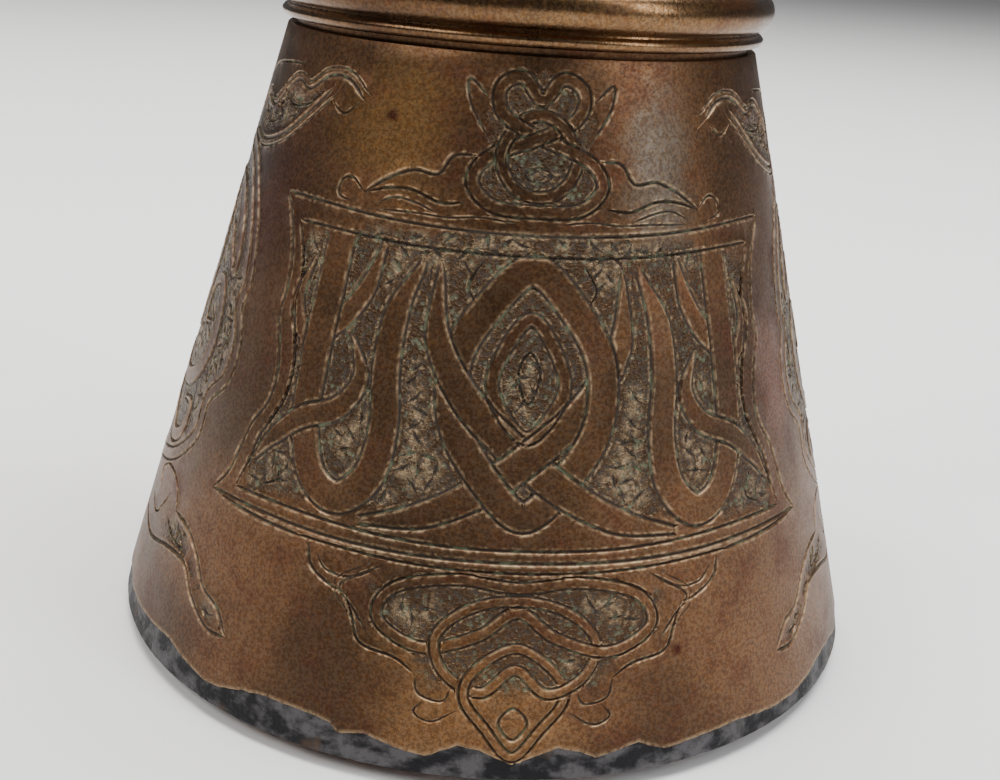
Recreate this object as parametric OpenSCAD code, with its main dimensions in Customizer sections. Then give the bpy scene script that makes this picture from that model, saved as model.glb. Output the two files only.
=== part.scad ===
// Dallah coffee pot: a raised-metal pot with a conical lower body, a moulded waist ring,
// a flared upper body with a beak spout and a riveted handle, and a hinged lid with a spire.
// The pot stands on the plane z = 0 with its axis on Z. The spout points to -X, the handle to +X.

/* [Lower body] */
// Radius at which the line of the conical side would meet the table
base_r = 75; // [62:1:92]
// Radius of the lower body at the waist
waist_r = 43; // [36:1:50]
// Height of the conical side
cone_h = 113.6; // [95:1:138]
// Thickness of the raised sheet
wall = 1.2; // [1:0.1:1.8]
// Height of the lower edge of the conical sheet above the table
edge_z = 5.4; // [5:0.1:8]
// Thickness of the base plate
base_t = 1.4; // [1:0.1:2]
// Outside radius of the base pan's rounded heel
heel_r = 3.6; // [3:0.1:4.5]
// How much further the heel tucks in under the pot
heel_tuck = 6; // [0:0.5:9]
// How far the base pan's flange reaches up inside the body
flange_h = 12; // [10:0.5:16]

/* [Waist ring] */
// Height of the moulded ring
ring_h = 9; // [7:0.5:12]
// How far the ring stands out past the waist
ring_out = 2.4; // [1.5:0.1:4]
// Depth of the groove between the body's shoulder and the ring
groove_depth = 1.6; // [1:0.1:2]
// Height of that groove
groove_h = 1.4; // [0.8:0.1:2.5]

/* [Upper body] */
// Height of the upper body above the waist joint
upper_h = 86; // [72:1:104]
// Outside radius of the mouth
mouth_r = 50; // [46:1:56]
// Height of the straight part under the mouth
mouth_straight = 12; // [10:1:16]
// How strongly the side flares towards the mouth
flare_power = 1.7; // [1.2:0.1:2.4]
// Radius of the wire rolled into the rim
rim_wire_r = 2; // [1.5:0.1:2.6]

/* [Spout] */
// How far the tip of the beak stands out from the pot's axis
spout_reach = 128; // [112:1:150]
// How far the tip rises above the mouth
spout_rise = 12; // [6:1:22]
// Half the width of the spout where it leaves the body
spout_half_w = 16; // [13:0.5:19]
// Height of the foot of the spout above the waist joint
spout_foot = 20; // [16:1:28]
// Thickness of the flange that the spout is soldered to
spout_flange_t = 1.4; // [1:0.1:2]

/* [Handle] */
// How far the back of the grip stands out from the pot's axis
handle_reach = 107; // [98:1:124]
// Radius of the grip at its middle
grip_r = 6.6; // [5.5:0.1:8]
// Radius of the grip's round ends
grip_end_r = 4.6; // [4:0.1:5.2]
// Outside radius of the sockets that hold the grip
socket_r = 7.2; // [6.6:0.1:8.5]
// Length of a socket
socket_l = 11; // [9:0.5:14]
// Thickness of the mounting leaves
leaf_t = 1.6; // [1.2:0.1:2.4]

/* [Rivets and pins] */
// Shank radius of the rivets
rivet_r = 1.5; // [1.2:0.1:2]
// Radius of the hinge pin
pin_r = 1.8; // [1.4:0.1:2.2]
// Radial clearance of the lid's knuckle on its pin
pin_gap = 0.06; // [0.03:0.01:0.1]

/* [Lid] */
// Height of the dome above the brim
dome_h = 46; // [36:1:58]
// Radius of the dome at its foot
dome_r = 41; // [37:0.5:42.5]
// Thickness of the lid's sheet
lid_t = 1.2; // [1:0.1:1.6]
// Depth of the skirt that drops into the mouth
skirt_h = 6; // [4:0.5:8]
// Radial gap between the skirt and the rivet ends inside the mouth
skirt_gap = 0.7; // [0.5:0.1:1.2]
// Height of the spire on the lid
spire_h = 34; // [26:1:44]
// Largest radius of the spire
spire_r = 7.5; // [6:0.5:9]

/* [Hidden] */
$fn = 96;

brass = "#8c6a3d";
dark_brass = "#6f5130";
tin = "#565a5e";
copper = "#8f5a3c";

// Lower body and waist
cone_lean = (base_r - waist_r) / cone_h;
cone_wall = wall / cos(atan(cone_lean));
function cone_r(z) = base_r - cone_lean * z;
function cone_in_r(z) = cone_r(z) - cone_wall;
lean_angle = atan(cone_lean);
heel_x = cone_in_r(heel_r) - heel_r / cos(lean_angle);
heel_steps = 8;
function heel_arc(r, from, to) = [for (i = [0:heel_steps]) let(a = from + (to - from) * i / heel_steps)
    [heel_x + r * cos(a) - heel_tuck * (a < 0 ? 1 - cos(a) : 0), heel_r + r * sin(a)]];
solder_recess = 0.3;
solder_from = -35;
collar_r = waist_r - groove_depth;
ring_z = cone_h + groove_h;
joint_z = ring_z + ring_h / 2;
ring_lip_h = 2.2;
ring_lip_out = 1;

// Upper body: straight inside the ring, then a power curve, and straight again under the mouth
mouth_z = joint_z + upper_h;
flare_from = ring_z + ring_h;
flare_h = mouth_z - mouth_straight - flare_from;
function flare_part(z) = min(1, max(0, (z - flare_from) / flare_h));
function flare_r(z) = collar_r + (mouth_r - collar_r) * pow(flare_part(z), flare_power);
function flare_tilt(z) = flare_part(z) < 1
    ? atan((mouth_r - collar_r) * flare_power * pow(flare_part(z), flare_power - 1) / flare_h) : 0;
flare_steps = 18;
flare_z = concat([joint_z], [for (i = [0:flare_steps]) flare_from + flare_h * i / flare_steps], [mouth_z]);
mouth_in_r = mouth_r - wall;

// Spout, in the plane of the pot's axis: x is the distance out from the axis
spout_sections = 15;
spout_arc_steps = 12;
spout_foot_z = joint_z + spout_foot;
spout_crown_z = mouth_z - 9;
spout_tip_w = 2.6;
keel = [[collar_r - 4, spout_foot_z], [collar_r + 34, spout_foot_z - 2],
    [spout_reach - 38, spout_crown_z - 24], [spout_reach - 3, mouth_z + spout_rise - 5]];
brim = [[mouth_r - 8, spout_crown_z], [mouth_r + 16, spout_crown_z - 5],
    [spout_reach - 34, mouth_z - 3], [spout_reach, mouth_z + spout_rise]];
spout_port_r = 7;
spout_port_low = spout_foot_z + 14;
spout_port_high = spout_crown_z - 12;
spout_rivet_z = [spout_foot_z - 6, spout_crown_z + 1];
spout_rivet_y = [4, spout_half_w + 2];

// Rivets: heads stand this far off the curved sheet, outside and inside
rivet_gap = 0.04;
rivet_back_gap = 0.2;
rivet_back_part = 0.7;
bracket_head_h = 0.8;

// Handle: the upper socket hangs just under the hinge bracket
bracket_low_z = mouth_z - 7;
socket_room = 0.8;
upper_socket_z = bracket_low_z - socket_r - socket_room;
lower_socket_z = joint_z + 24;
upper_socket_x = mouth_r + leaf_t + socket_l;
lower_socket_x = flare_r(lower_socket_z) + leaf_t + socket_l;
seat_depth = socket_l - 3;
handle_rivet_step = 12;
grip_steps = 30;
grip_sides = 20;

// Hinge
hinge_x = mouth_r + 11;
brim_z = mouth_z + rim_wire_r;
hinge_z = brim_z + 3.2;
knuckle_r = pin_r + 2.2;
tongue_half_w = 4;
ear_gap = 0.25;
ear_w = 3.2;
ear_y = tongue_half_w + ear_gap;
bracket_t = 1.6;
bracket_rivet_z = mouth_z - 4.5;
bracket_rivet_turn = asin((ear_y + ear_w + 2.9) / mouth_r);

// Lid
lid_r = mouth_r + rim_wire_r - 0.4;
rivet_ends_r = mouth_in_r + rivet_gap - rivet_back_gap - bracket_head_h * rivet_back_part;
skirt_r = rivet_ends_r - skirt_gap;
tongue_t = 2;
tongue_in_x = dome_r + 1.6;
tongue_rivet_x = tongue_in_x + 2;
dome_steps = 20;
dome_top_r = 5.5;
function dome_curve(s) = dome_top_r + (dome_r - dome_top_r) * (0.55 * sqrt(1 - s * s) + 0.45 * pow(cos(90 * s), 1.6));
dome_foot_z = brim_z + lid_t;
dome_top_z = dome_foot_z + dome_h;
collar_h = 5;
tang_r = 2;
finial_z = dome_top_z + collar_h;
bud_z = finial_z + spire_h * 0.72;
washer_t = 1.5;

// --- Shapes that several pieces use ---

// A point on a cubic curve through p[0] and p[3]
function bezier(p, t) = pow(1 - t, 3) * p[0] + 3 * pow(1 - t, 2) * t * p[1]
    + 3 * (1 - t) * t * t * p[2] + pow(t, 3) * p[3];

// A solid skinned over closed loops of equal length, capped at both ends
module skin(loops) {
    n = len(loops[0]);
    m = len(loops);
    polyhedron(
        points = [for (loop = loops) for (p = loop) p],
        faces = concat(
            [for (i = [0:n / 2 - 2]) [i, i + 1, n - 2 - i, n - 1 - i]],
            [for (k = [0:m - 2]) for (i = [0:n - 1])
                [k * n + i, (k + 1) * n + i, (k + 1) * n + (i + 1) % n]],
            [for (k = [0:m - 2]) for (i = [0:n - 1])
                [k * n + i, (k + 1) * n + (i + 1) % n, k * n + (i + 1) % n]],
            [for (i = [0:n / 2 - 2]) let(e = (m - 1) * n)
                [e + n - 1 - i, e + n - 2 - i, e + i + 1, e + i]]),
        convexity = 8);
}

// The upper body's outside, grown by some amount, as a solid of revolution
module flare_solid(grow, low = joint_z, high = mouth_z) {
    zs = concat([low], [for (z = flare_z) if (z > low && z < high) z], [high]);
    rotate_extrude()
        polygon(concat([[0, low]], [for (z = zs) [flare_r(z) + grow, z]], [[0, high]]));
}

// A thin leaf that lies on the upper body's side facing +X, cut to an outline in Y and Z
module flare_leaf(thickness, low, high) {
    intersection() {
        difference() {
            flare_solid(thickness, low, high);
            flare_solid(0, low - 1, high + 1);
        }
        rotate([90, 0, 90])
            linear_extrude(mouth_r + 20)
                children();
    }
}

// The outline of a mounting leaf: a disc with a rounded lobe above and below
module leaf_outline(z, reach, r) {
    translate([0, z])
        circle(r);
    for (side = [-1, 1])
        translate([0, z + side * reach])
            circle(r * 0.62);
    translate([-r * 0.62, z - reach])
        square([r * 1.24, 2 * reach]);
}

// A round-headed rivet along X with its head's underside at x = 0, gripping the given stack
module rivet(grip, head_r = 2.6, head_h = 1.3) {
    back = -grip - rivet_back_gap;
    rotate([0, 90, 0])
        rotate_extrude()
            polygon([[0, back - head_h * rivet_back_part], [head_r * 0.8, back - head_h * rivet_back_part],
                [head_r * 0.9, back], [rivet_r, back], [rivet_r, 0], [head_r, 0],
                [head_r * 0.92, head_h * 0.45], [head_r * 0.66, head_h * 0.82],
                [head_r * 0.3, head_h], [0, head_h]]);
}

module rivet_hole() {
    rotate([0, 90, 0])
        cylinder(r = rivet_r, h = 30, center = true);
}

// --- Pot ---

// The base pan: a flat plate with a rounded heel and a flange that stands inside the body
module base_pan() {
    sheet = base_t / cos(lean_angle);
    color(copper)
        rotate_extrude()
            polygon(concat(
                [[0, 0]],
                heel_arc(heel_r, -90, lean_angle),
                [[cone_in_r(flange_h), flange_h], [cone_in_r(flange_h) - sheet, flange_h]],
                heel_arc(heel_r - base_t, lean_angle, -90),
                [[0, base_t]]));
}

// The solder that fills the step between the body's lower edge and the heel
module seam_solder() {
    color(tin)
        rotate_extrude()
            polygon(concat(
                heel_arc(heel_r, solder_from, lean_angle),
                [[cone_in_r(edge_z), edge_z], [cone_r(edge_z) - solder_recess, edge_z],
                    [cone_r(heel_r * 0.8) - solder_recess * 2, heel_r * 0.8]]));
}

module lower_body() {
    shoulder_z = cone_h - wall;
    color(brass)
        rotate_extrude()
            polygon([[cone_r(edge_z), edge_z], [waist_r, cone_h], [collar_r, cone_h],
                [collar_r, joint_z], [collar_r - wall, joint_z], [collar_r - wall, shoulder_z],
                [cone_in_r(shoulder_z), shoulder_z], [cone_in_r(edge_z), edge_z]]);
}

module waist_ring() {
    bead_z = ring_z + ring_lip_h;
    bead_h = ring_h - ring_lip_h;
    bead_steps = 10;
    color(brass)
        rotate_extrude()
            polygon(concat(
                [[collar_r, ring_z], [waist_r - 0.4, ring_z], [waist_r + ring_lip_out, bead_z - 0.4],
                    [waist_r + ring_lip_out * 0.6, bead_z]],
                [for (i = [1:bead_steps]) let(a = 180 * i / bead_steps - 90)
                    [waist_r + (ring_out) * cos(a), bead_z + bead_h / 2 * (1 + sin(a))]],
                [[collar_r, ring_z + ring_h]]));
}

module upper_body() {
    color(brass)
        difference() {
            rotate_extrude()
                polygon(concat([for (z = flare_z) [flare_r(z), z]],
                    [for (i = [len(flare_z) - 1:-1:0]) [flare_r(flare_z[i]) - wall, flare_z[i]]]));
            spout_port();
            spout_rivet_places() rivet_hole();
            handle_rivet_places() rivet_hole();
            bracket_rivet_places() rivet_hole();
        }
}

module rim_wire() {
    wire_in = mouth_r - wall;
    color(brass)
        rotate_extrude()
            difference() {
                translate([mouth_r - 0.2, mouth_z])
                    circle(rim_wire_r);
                translate([mouth_r - wall - 3, mouth_z - 5])
                    square([wall + 3, 5]);
                translate([wire_in - 5, mouth_z - 1])
                    square([5, 4]);
            }
}

// --- Spout ---

// The way through the wall into the spout: a tall slot with round ends, facing -X
module spout_port() {
    for (z = [spout_port_low, spout_port_high])
        translate([-mouth_r - 15, 0, z])
            rotate([0, 90, 0])
                cylinder(r = spout_port_r, h = mouth_r + 15);
    translate([-mouth_r - 15, -spout_port_r, spout_port_low])
        cube([mouth_r + 15, 2 * spout_port_r, spout_port_high - spout_port_low]);
}

module spout_rivet_places() {
    for (i = [0, 1])
        for (side = [-1, 1])
            rotate([0, 0, side * asin(spout_rivet_y[i] / flare_r(spout_rivet_z[i]))])
                translate([-flare_r(spout_rivet_z[i]) - spout_flange_t - rivet_gap, 0, spout_rivet_z[i]])
                    mirror([1, 0, 0])
                        rotate([0, flare_tilt(spout_rivet_z[i]), 0])
                            children();
}

module spout_flange() {
    low = spout_foot_z - 11;
    high = spout_crown_z + 6;
    color(brass)
        difference() {
            mirror([1, 0, 0])
                flare_leaf(spout_flange_t, low, high)
                    polygon([[-4, low], [4, low], [9, low + 9], [spout_half_w + 3, spout_foot_z + 18],
                        [spout_half_w + 5, spout_crown_z - 4], [spout_half_w + 5, high],
                        [-spout_half_w - 5, high], [-spout_half_w - 5, spout_crown_z - 4],
                        [-spout_half_w - 3, spout_foot_z + 18], [-9, low + 9]]);
            spout_port();
            spout_rivet_places() rivet_hole();
        }
}

// One cross-section of the open spout: down the outside, round the keel and back inside
function spout_loop(t) = let(
    k = bezier(keel, t),
    b = bezier(brim, t),
    up = (b - k) / norm(b - k),
    half_w = spout_tip_w + (spout_half_w - spout_tip_w) * pow(cos(90 * t), 0.85),
    lift = min(wall, norm(b - k) * 0.3),
    outer = [for (i = [0:spout_arc_steps]) let(a = -90 + 180 * i / spout_arc_steps)
        [k + (b - k) * pow(1 - cos(a), 1.15), half_w * sin(a)]],
    inner = [for (i = [spout_arc_steps:-1:0]) let(a = -90 + 180 * i / spout_arc_steps)
        [k + up * lift + (b - k - up * lift) * pow(1 - cos(a), 1.15), (half_w - wall) * sin(a)]])
    [for (p = concat(outer, inner)) [-p[0][0], -p[1], p[0][1]]];

module spout_shell() {
    color(brass)
        difference() {
            skin([for (i = [0:spout_sections]) spout_loop(i / spout_sections)]);
            flare_solid(spout_flange_t, joint_z, mouth_z + 1);
        }
}

module spout_rivets() {
    color(dark_brass)
        spout_rivet_places()
            rivet(spout_flange_t + wall, 2.2, 1.1);
}

// --- Handle ---

module handle_rivet_places() {
    for (z = [upper_socket_z - handle_rivet_step, lower_socket_z - handle_rivet_step,
        lower_socket_z + handle_rivet_step])
        translate([flare_r(z) + leaf_t + rivet_gap, 0, z])
            rotate([0, flare_tilt(z), 0])
                children();
}

// A leaf with a socket for one end of the grip
module handle_mount(z, socket_x, outline_low) {
    difference() {
        union() {
            flare_leaf(leaf_t, z - handle_rivet_step - 6, z + outline_low + 6)
                leaf_outline(z, handle_rivet_step, socket_r + 1.2);
            difference() {
                translate([0, 0, z])
                    rotate([0, 90, 0])
                        cylinder(r = socket_r, h = socket_x);
                flare_solid(leaf_t - 0.3, joint_z, mouth_z + 1);
            }
        }
        translate([socket_x - seat_depth, 0, z])
            rotate([0, 90, 0])
                cylinder(r = grip_end_r, h = socket_l);
        translate([socket_x - seat_depth / 2, 0, z])
            rotate([90, 0, 0])
                cylinder(r = rivet_r, h = 4 * socket_r, center = true);
        handle_rivet_places() rivet_hole();
    }
}

module handle_upper_mount() {
    color(brass)
        difference() {
            handle_mount(upper_socket_z, upper_socket_x, 0);
            flare_solid(0, joint_z, mouth_z + 1);
            translate([0, -20, bracket_low_z - 0.05])
                cube([mouth_r + 8, 40, 20]);
        }
}

module handle_lower_mount() {
    color(brass)
        handle_mount(lower_socket_z, lower_socket_x, handle_rivet_step);
}

module handle_rivets() {
    color(dark_brass)
        handle_rivet_places()
            rivet(leaf_t + wall);
}

// The grip's centreline: out of the upper socket, round and back into the lower one
grip_mid_z = (upper_socket_z + lower_socket_z) / 2 + 4;
grip_top = [[upper_socket_x, upper_socket_z], [handle_reach - 18, upper_socket_z + 1],
    [handle_reach, upper_socket_z - 6], [handle_reach, grip_mid_z]];
grip_low = [[handle_reach, grip_mid_z], [handle_reach, lower_socket_z + 10],
    [handle_reach - 20, lower_socket_z - 1], [lower_socket_x, lower_socket_z]];
function grip_point(t) = t < 0.5 ? bezier(grip_top, 2 * t) : bezier(grip_low, 2 * t - 1);
function grip_loop(t) = let(
    p = grip_point(t),
    d = grip_point(min(1, t + 0.01)) - grip_point(max(0, t - 0.01)),
    n = [d[1], -d[0]] / norm(d),
    r = grip_end_r + 0.9 + (grip_r - grip_end_r - 0.9) * pow(sin(180 * t), 0.8))
    [for (i = [0:grip_sides - 1]) let(a = 360 * i / grip_sides)
        [p[0] + n[0] * r * cos(a), r * 0.92 * sin(a), p[1] + n[1] * r * cos(a)]];

module handle_grip() {
    color(brass)
        difference() {
            union() {
                skin([for (i = [0:grip_steps]) grip_loop(i / grip_steps)]);
                translate([upper_socket_x - seat_depth, 0, upper_socket_z])
                    rotate([0, 90, 0])
                        cylinder(r = grip_end_r, h = seat_depth + 1);
                translate([lower_socket_x - seat_depth, 0, lower_socket_z])
                    rotate([0, 90, 0])
                        cylinder(r = grip_end_r, h = seat_depth + 1);
            }
            handle_pin_places()
                rotate([90, 0, 0])
                    cylinder(r = rivet_r, h = 40, center = true);
        }
}

module handle_pin_places() {
    translate([upper_socket_x - seat_depth / 2, 0, upper_socket_z])
        children();
    translate([lower_socket_x - seat_depth / 2, 0, lower_socket_z])
        children();
}

module handle_pins() {
    half = socket_r + 0.5;
    color(dark_brass)
        handle_pin_places()
            rotate([90, 0, 0])
                rotate_extrude()
                    polygon([[0, -half], [rivet_r * 0.7, -half], [rivet_r, -half + 0.5],
                        [rivet_r, half - 0.5], [rivet_r * 0.7, half], [0, half]]);
}

// --- Hinge ---

module bracket_rivet_places() {
    for (side = [-1, 1])
        rotate([0, 0, side * bracket_rivet_turn])
            translate([mouth_r + bracket_t + rivet_gap, 0, bracket_rivet_z])
                children();
}

// The fixed half of the hinge: a leaf on the mouth, an arm out and two ears
module hinge_bracket() {
    half = ear_y + ear_w;
    post = knuckle_r - 0.6;
    arm_z = bracket_low_z + 0.4;
    color(brass)
        difference() {
            union() {
                intersection() {
                    difference() {
                        flare_solid(bracket_t, bracket_low_z, mouth_z - rim_wire_r - 0.1);
                        flare_solid(0, bracket_low_z - 1, mouth_z + 1);
                    }
                    translate([0, -half - 6, bracket_low_z])
                        cube([mouth_r + 10, 2 * half + 12, 8]);
                }
                difference() {
                    translate([mouth_r - 5, -half, arm_z])
                        cube([hinge_x - mouth_r + 5 + post, 2 * half, 3]);
                    flare_solid(bracket_t - 0.3, bracket_low_z - 1, mouth_z + 1);
                }
                for (side = [-1, 1])
                    translate([0, side * (ear_y + ear_w / 2), 0]) {
                        translate([hinge_x, 0, hinge_z])
                            rotate([90, 0, 0])
                                cylinder(r = knuckle_r, h = ear_w, center = true);
                        translate([hinge_x - post, -ear_w / 2, arm_z + 1])
                            cube([2 * post, ear_w, hinge_z - arm_z - 1]);
                    }
            }
            translate([hinge_x, 0, hinge_z])
                rotate([90, 0, 0])
                    cylinder(r = pin_r, h = 40, center = true);
            bracket_rivet_places() rivet_hole();
        }
}

module bracket_rivets() {
    color(dark_brass)
        bracket_rivet_places()
            rivet(bracket_t + wall, 2, bracket_head_h);
}

module hinge_pin() {
    half = ear_y + ear_w;
    color(dark_brass)
        translate([hinge_x, 0, hinge_z])
            rotate([90, 0, 0])
                rotate_extrude()
                    polygon([[0, -half - 1.4], [pin_r + 0.5, -half - 1.1], [pin_r + 0.9, -half],
                        [pin_r, -half], [pin_r, half], [pin_r + 0.9, half], [pin_r + 0.5, half + 1.1],
                        [0, half + 1.4]]);
}

// --- Lid ---

module tongue_rivet_places() {
    for (side = [-1, 1])
        translate([tongue_rivet_x, side * 2.1, brim_z + lid_t + tongue_t])
            rotate([0, -90, 0])
                children();
}

// The moving half of the hinge: a strap on the brim and a knuckle between the ears
module lid_tongue() {
    strap_z = brim_z + lid_t;
    color(brass)
        difference() {
            union() {
                translate([tongue_in_x, -tongue_half_w, strap_z])
                    cube([hinge_x - tongue_in_x, 2 * tongue_half_w, tongue_t]);
                translate([hinge_x, 0, hinge_z])
                    rotate([90, 0, 0])
                        cylinder(r = knuckle_r, h = 2 * tongue_half_w, center = true);
            }
            translate([hinge_x, 0, hinge_z])
                rotate([90, 0, 0])
                    cylinder(r = pin_r + pin_gap, h = 40, center = true);
            tongue_rivet_places() tongue_rivet_hole();
        }
}

module tongue_rivet_hole() {
    rotate([0, 90, 0])
        cylinder(r = 1, h = 30, center = true);
}

module tongue_rivets() {
    grip = tongue_t + lid_t;
    color(dark_brass)
        tongue_rivet_places()
            rotate([0, -90, 0])
                mirror([0, 0, 1])
                    rotate_extrude()
                        polygon([[0, -grip - 0.6], [1.4, -grip - 0.6], [1.6, -grip], [1, -grip], [1, 0],
                            [1.8, 0], [1.5, 0.6], [0.7, 0.95], [0, 1]]);
}

module thumb_piece() {
    foot_z = hinge_z + knuckle_r - 0.4;
    color(brass)
        difference() {
            translate([hinge_x, 0, 0])
                rotate_extrude()
                    polygon([[0, hinge_z], [2.4, hinge_z], [2.4, foot_z + 0.8], [1.5, foot_z + 2.4],
                        [1.9, foot_z + 3.6], [3.2, foot_z + 4.6], [3.9, foot_z + 6.4],
                        [3.5, foot_z + 8.2], [2.2, foot_z + 9.4], [0, foot_z + 9.9]]);
            translate([hinge_x, 0, hinge_z])
                rotate([90, 0, 0])
                    cylinder(r = knuckle_r, h = 40, center = true);
        }
}

module lid_shell() {
    inner = [for (i = [dome_steps:-1:0]) let(s = i / dome_steps)
        [dome_curve(s) - lid_t, dome_foot_z + (dome_h - lid_t) * s]];
    color(brass)
        difference() {
            rotate_extrude()
                polygon(concat(
                    [[lid_r, brim_z], [lid_r, dome_foot_z]],
                    [for (i = [0:dome_steps]) let(s = i / dome_steps)
                        [dome_curve(s), dome_foot_z + dome_h * s]],
                    [[tang_r, dome_top_z], [tang_r, dome_top_z - lid_t]],
                    inner,
                    [[dome_r - lid_t, brim_z]]));
            tongue_rivet_places() tongue_rivet_hole();
        }
}

module lid_skirt() {
    color(brass)
        rotate_extrude()
            polygon([[skirt_r - lid_t, brim_z], [skirt_r, brim_z], [skirt_r, brim_z - skirt_h],
                [skirt_r - lid_t, brim_z - skirt_h - 0.6]]);
}

// A small half-round moulding where the dome meets the brim, cut away for the tongue
module lid_moulding() {
    bead = 1.4;
    color(brass)
        difference() {
            rotate_extrude()
                difference() {
                    translate([dome_r + 0.1, dome_foot_z])
                        circle(bead);
                    translate([dome_r - 4, dome_foot_z - 4])
                        square([8, 4]);
                    polygon(concat(
                        [for (i = [0:3]) let(s = i / dome_steps) [dome_curve(s), dome_foot_z + dome_h * s]],
                        [[dome_r - 6, dome_foot_z + dome_h * 3 / dome_steps], [dome_r - 6, dome_foot_z]]));
                }
            translate([tongue_in_x - 0.4, -tongue_half_w - 0.3, dome_foot_z - 1])
                cube([10, 2 * tongue_half_w + 0.6, 10]);
        }
}

// --- Finial ---

module finial_collar() {
    color(brass)
        rotate_extrude()
            polygon([[tang_r, dome_top_z], [dome_top_r + 0.6, dome_top_z], [dome_top_r + 1.8, dome_top_z + 0.9],
                [dome_top_r + 1.8, dome_top_z + 1.7], [dome_top_r - 0.6, dome_top_z + 2.6],
                [dome_top_r - 1.6, dome_top_z + 3.6], [dome_top_r - 1.2, finial_z], [tang_r, finial_z]]);
}

module finial_baluster() {
    h = bud_z - finial_z;
    lobe_steps = 9;
    color(brass)
        rotate_extrude()
            polygon(concat(
                [[tang_r, finial_z], [3.4, finial_z]],
                [for (i = [0:lobe_steps]) let(s = i / lobe_steps)
                    [3.4 + (spire_r - 3.4) * sin(180 * pow(s, 0.8)), finial_z + h * (0.06 + 0.56 * s)]],
                [[2.9, finial_z + h * 0.70], [4.6, finial_z + h * 0.76], [4.6, finial_z + h * 0.82],
                    [3, finial_z + h * 0.88], [3.2, bud_z], [tang_r, bud_z]]));
}

module finial_bud() {
    h = finial_z + spire_h - bud_z;
    lobe_steps = 8;
    color(brass)
        rotate_extrude()
            polygon(concat(
                [[0, bud_z + 4], [tang_r, bud_z + 4], [tang_r, bud_z]],
                [for (i = [0:lobe_steps]) let(s = i / lobe_steps)
                    [3.2 * cos(90 * pow(s, 1.4)) + 1.6 * sin(180 * s), bud_z + h * s]]));
}

module finial_tang() {
    low = dome_top_z - lid_t - washer_t;
    color(dark_brass)
        rotate_extrude()
            polygon([[0, low - 1.2], [tang_r + 0.8, low - 1], [tang_r + 1.2, low], [tang_r, low],
                [tang_r, bud_z + 4], [0, bud_z + 4]]);
}

module finial_washer() {
    high = dome_top_z - lid_t;
    color(copper)
        rotate_extrude()
            polygon([[tang_r, high - washer_t], [dome_top_r - lid_t - 0.4, high - washer_t],
                [dome_top_r - lid_t - 0.4, high], [tang_r, high]]);
}

base_pan();
seam_solder();
lower_body();
waist_ring();
upper_body();
rim_wire();
spout_flange();
spout_shell();
spout_rivets();
handle_upper_mount();
handle_lower_mount();
handle_rivets();
handle_grip();
handle_pins();
hinge_bracket();
bracket_rivets();
hinge_pin();
lid_tongue();
tongue_rivets();
thumb_piece();
lid_shell();
lid_skirt();
lid_moulding();
finial_collar();
finial_baluster();
finial_bud();
finial_tang();
finial_washer();
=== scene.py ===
"""A raised and engraved brass coffee pot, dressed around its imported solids.

The pot stands on z = 0 with its axis on Z, its spout towards -X and its handle towards +X.
Lengths inside the classes are millimetres; everything is metres once it becomes a mesh.
"""

from __future__ import annotations

import logging
import math
import random
from dataclasses import dataclass, field
from enum import StrEnum
from typing import Sequence

import bmesh
import bpy
import numpy as np
from mathutils import Matrix, Vector, kdtree, noise
from mathutils.geometry import delaunay_2d_cdt

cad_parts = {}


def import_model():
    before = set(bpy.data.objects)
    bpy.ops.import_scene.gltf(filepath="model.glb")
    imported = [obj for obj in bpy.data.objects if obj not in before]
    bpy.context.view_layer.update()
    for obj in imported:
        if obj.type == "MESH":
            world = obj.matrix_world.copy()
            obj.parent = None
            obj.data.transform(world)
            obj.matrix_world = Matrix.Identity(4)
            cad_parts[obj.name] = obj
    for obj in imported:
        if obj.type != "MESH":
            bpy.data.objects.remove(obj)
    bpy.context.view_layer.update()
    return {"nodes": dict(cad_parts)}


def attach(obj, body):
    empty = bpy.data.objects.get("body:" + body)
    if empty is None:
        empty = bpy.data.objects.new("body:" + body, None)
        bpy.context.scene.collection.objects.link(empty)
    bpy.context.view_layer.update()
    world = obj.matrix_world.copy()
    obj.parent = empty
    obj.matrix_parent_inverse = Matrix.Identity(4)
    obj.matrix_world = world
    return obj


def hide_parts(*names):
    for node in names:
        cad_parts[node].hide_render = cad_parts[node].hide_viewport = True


LOG = logging.getLogger("coffee_pot")
MM = 0.001
Colour = tuple[float, float, float]
Point = tuple[float, float]


class Body(StrEnum):
    """A body of the frame."""

    POT = "pot"
    LID = "lid"


class Slot(StrEnum):
    """A material slot of the record."""

    SHEET = "brass_sheet"
    CAST = "brass_cast"
    SOLDER = "solder"
    COPPER = "copper"


# ---------------------------------------------------------------------------
# Shader building
# ---------------------------------------------------------------------------


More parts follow.
